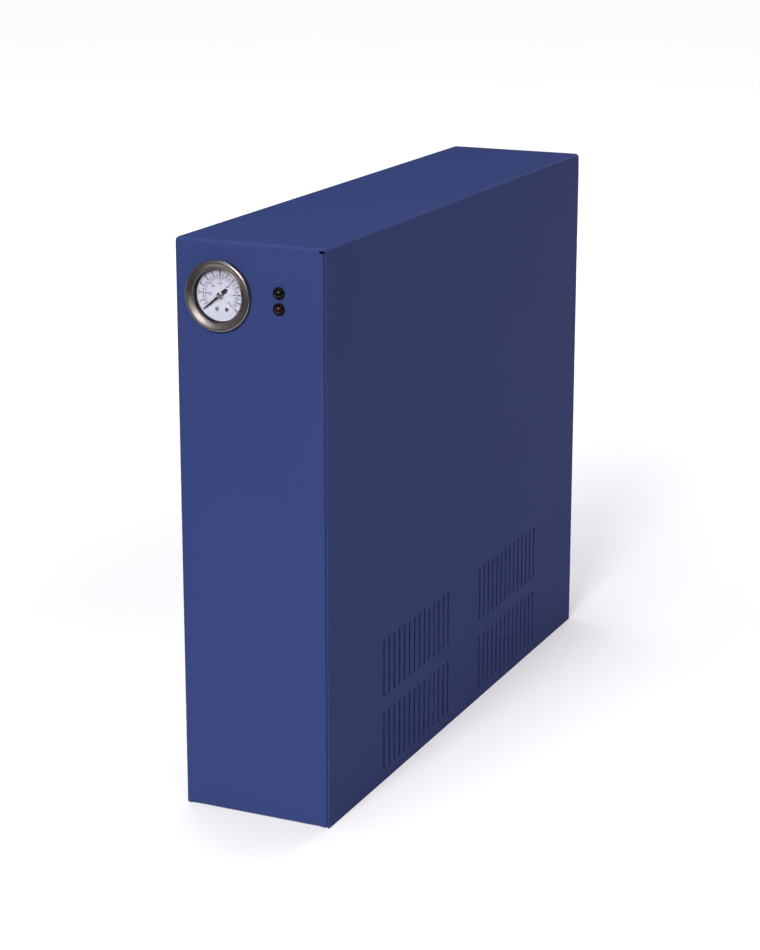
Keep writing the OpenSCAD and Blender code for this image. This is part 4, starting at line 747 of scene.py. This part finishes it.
crown_r = SCREW_CROWN * SCREW_R
edge = math.asin(SLOT_HALF / SCREW_R)
outline = [edge + (math.pi - 2 * edge) * i / SLOT_STEPS for i in range(SLOT_STEPS + 1)]
foot = [(SCREW_R * math.cos(a), SCREW_R * math.sin(a), SCREW_SEAT) for a in outline]
crown = [(crown_r * math.cos(a), max(SLOT_HALF, crown_r * math.sin(a)), SCREW_TOP) for a in outline]
screws_bm = bmesh.new()
for (x, y), turned in zip(SCREW_PLACES, SCREW_TURNS):
    turn_on_lathe(screws_bm, [(0, 0), (SCREW_R, 0), (SCREW_R, SCREW_SEAT), (0, SCREW_SEAT)],
                  SCREW_STEPS, (x, y))
    for half in (0, 180):
        place = Matrix.Translation((x, y, 0)) @ Matrix.Rotation(math.radians(turned + half), 4, "Z")
        join_sections(screws_bm, [[screws_bm.verts.new(place @ Vector(corner)) for corner in section]
                                  for section in (foot, crown)])
fix_piece("dial_screws", screws_bm, out_of_front(dial_low.y), finish["zinc_plate"], "cabinet")

# %% [markdown]
# A turned cap covers the pointer's hub. It is a thin plated cup with a rounded shoulder, so it is drawn as
# one closed profile, outside and inside, and spun. It turns with the pointer.

# %% The hub cap
CAP_R = 3.1
CAP_BORE_R = 2.1
CAP_TOP = 1.3
CAP_SHOULDER = 0.6
CAP_WALL = 0.6
CAP_DIMPLE_R = 0.9
CAP_DIMPLE = 0.3
CAP_STEPS = 40
SHOULDER_STEPS = 6
BLADE_BELOW_HUB = 0.6

hub_face_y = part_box("gauge_pointer")[0].y
cap_profile = [(CAP_BORE_R, 0), (CAP_R, 0)]
cap_profile += arc(CAP_R - CAP_SHOULDER, CAP_TOP - CAP_SHOULDER, CAP_SHOULDER, 0, 90, SHOULDER_STEPS)
cap_profile += [(CAP_DIMPLE_R, CAP_TOP), (0, CAP_TOP - CAP_DIMPLE), (0, CAP_TOP - CAP_WALL),
                (CAP_BORE_R, CAP_TOP - CAP_WALL)]
cap_bm = bmesh.new()
turn_on_lathe(cap_bm, cap_profile, CAP_STEPS)
fix_piece("pointer_hub_cap", cap_bm, out_of_front(hub_face_y + BLADE_BELOW_HUB * MM),
          finish["zinc_plate"], "gauge_needle")

# %% [markdown]
# A black rubber ring fills the step between the dial and the window. Seen at an angle its inner wall is the
# dark crescent on the left of the dial, so it matters more than its size suggests.

# %% The sealing ring
SEAL_GAP = 0.05
SEAL_W = 1.8
SEAL_ROUND = 0.3
SEAL_STEPS = 96
SEAL_ROUND_STEPS = 4

window_low, window_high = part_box("gauge_window")
seal_h = (dial_low.y - window_high.y) / MM - 2 * SEAL_GAP
seal_out = (dial_high.x - dial_low.x) / 2 / MM
seal_in = seal_out - SEAL_W
seal_bm = bmesh.new()
seal_profile = arc(seal_in + SEAL_ROUND, SEAL_ROUND, SEAL_ROUND, 180, 270, SEAL_ROUND_STEPS)
seal_profile += [(seal_out, 0), (seal_out, seal_h)]
seal_profile += arc(seal_in + SEAL_ROUND, seal_h - SEAL_ROUND, SEAL_ROUND, 90, 180, SEAL_ROUND_STEPS)
turn_on_lathe(seal_bm, seal_profile, SEAL_STEPS)
fix_piece("gauge_seal", seal_bm, out_of_front(dial_low.y - SEAL_GAP * MM), finish["rubber"],
          "cabinet")

# %% [markdown]
# The gauge ring is spun from stainless sheet: its edge is rolled over, and from there the metal runs down in
# a shallow cone to a small bead that holds the window. The cone is what mirrors the lights, so the ring is
# spun here as one fine closed section, and stands for the plainer CAD ring.

# %% The spun gauge ring
ROLL_R = 2.3
BEAD_R = 0.75
LIP_R = 24.2
SKIRT_R = 30.1
CONE_TILT = 20
CONE_END = -9
RING_GAP = 0.05
RING_STEPS = 180
ROLL_STEPS = 16
BEAD_STEPS = 12

ring_low, ring_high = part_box("gauge_bezel")
ring_r = (ring_high.x - ring_low.x) / 2 / MM
glass_h = (ring_high.y - window_low.y) / MM + RING_GAP
ring_profile = [(SKIRT_R, 0), (ring_r, 0)]
ring_profile += arc(ring_r - ROLL_R, ROLL_R, ROLL_R, 0, 90 + CONE_TILT, ROLL_STEPS)
ring_profile += arc(LIP_R + BEAD_R, glass_h + BEAD_R / 2, BEAD_R, CONE_END, 180, BEAD_STEPS)
ring_profile += [(LIP_R, glass_h), (SKIRT_R, glass_h)]
ring_bm = bmesh.new()
turn_on_lathe(ring_bm, ring_profile, RING_STEPS)
gauge_ring = fix_piece("gauge_ring", ring_bm, out_of_front(ring_high.y), finish["polished_steel"],
                       "cabinet")
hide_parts("gauge_bezel")

# %% [markdown]
# The air ports are tapped with a pipe thread. A thread is one ridge wound round and round, so its section is
# carried along a helix: a few dozen points a turn, each a little further in than the last.

# %% The port threads
PORT_BORE_R = 9.3
THREAD_PITCH = 1.814
THREAD_DEPTH = 0.55
THREAD_TURNS = 7
THREAD_STEPS = 40
THREAD_START = 1.2
THREAD_FLANK = 0.42
THREAD_CREST = 0.08
THREAD_ROOT = 0.02


def cut_thread(name, port):
    low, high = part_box(port)
    root_r = PORT_BORE_R - THREAD_ROOT
    crest_r = PORT_BORE_R - THREAD_DEPTH
    bm = bmesh.new()
    sections = []
    for i in range(THREAD_TURNS * THREAD_STEPS + 1):
        angle = 2 * math.pi * i / THREAD_STEPS
        depth = -THREAD_START - THREAD_PITCH * i / THREAD_STEPS
        crest = depth - THREAD_FLANK * THREAD_PITCH
        corners = [(root_r, depth),
                   (crest_r, crest),
                   (crest_r, crest - THREAD_CREST * THREAD_PITCH),
                   (root_r, crest - (THREAD_CREST + THREAD_FLANK) * THREAD_PITCH)]
        sections.append([bm.verts.new((r * math.cos(angle), r * math.sin(angle), h)) for r, h in corners])
    join_sections(bm, sections)
    stand = Matrix.Translation(((low.x + high.x) / 2, high.y, (low.z + high.z) / 2))
    stand @= Matrix.Rotation(math.radians(-90), 4, "X")
    fix_piece(name, bm, stand, finish["brass"], "cabinet")


cut_thread("inlet_thread", "inlet_port")
cut_thread("outlet_thread", "outlet_port")

# %% [markdown]
# The rocker switch carries the usual bar and ring for on and off, pad-printed in white. A ray from behind
# finds the slope of each half of the rocker, and the mark is laid on it, so it tips with the rocker.

# %% The switch marks
MARK_REACH = 4.2
MARK_T = 0.05
BAR_HALF_W = 0.4
BAR_HALF_H = 1.6
OFF_RING_R = 1.6
OFF_BORE_R = 1.05
OFF_STEPS = 32
RAY_BEHIND = 50

rocker_low, rocker_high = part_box("switch_rocker")
rocker_middle = (rocker_low + rocker_high) / 2
bpy.context.view_layer.update()


def on_rocker(up):
    start = Vector((rocker_middle.x, rocker_high.y + RAY_BEHIND * MM, rocker_middle.z + up * MM))
    place, normal = nodes["switch_rocker"].ray_cast(start, Vector((0, -1, 0)))[1:3]
    return Matrix.Translation(place) @ normal.to_track_quat("Z", "Y").to_matrix().to_4x4()


bar_bm = bmesh.new()
add_bar(bar_bm, (-BAR_HALF_W, -BAR_HALF_H, 0), (BAR_HALF_W, BAR_HALF_H, MARK_T))
fix_piece("switch_on_mark", bar_bm, on_rocker(MARK_REACH), white_ink, "rocker")
off_bm = bmesh.new()
turn_on_lathe(off_bm, [(OFF_BORE_R, 0), (OFF_RING_R, 0), (OFF_RING_R, MARK_T), (OFF_BORE_R, MARK_T)],
              OFF_STEPS)
fix_piece("switch_off_mark", off_bm, on_rocker(-MARK_REACH), white_ink, "rocker")
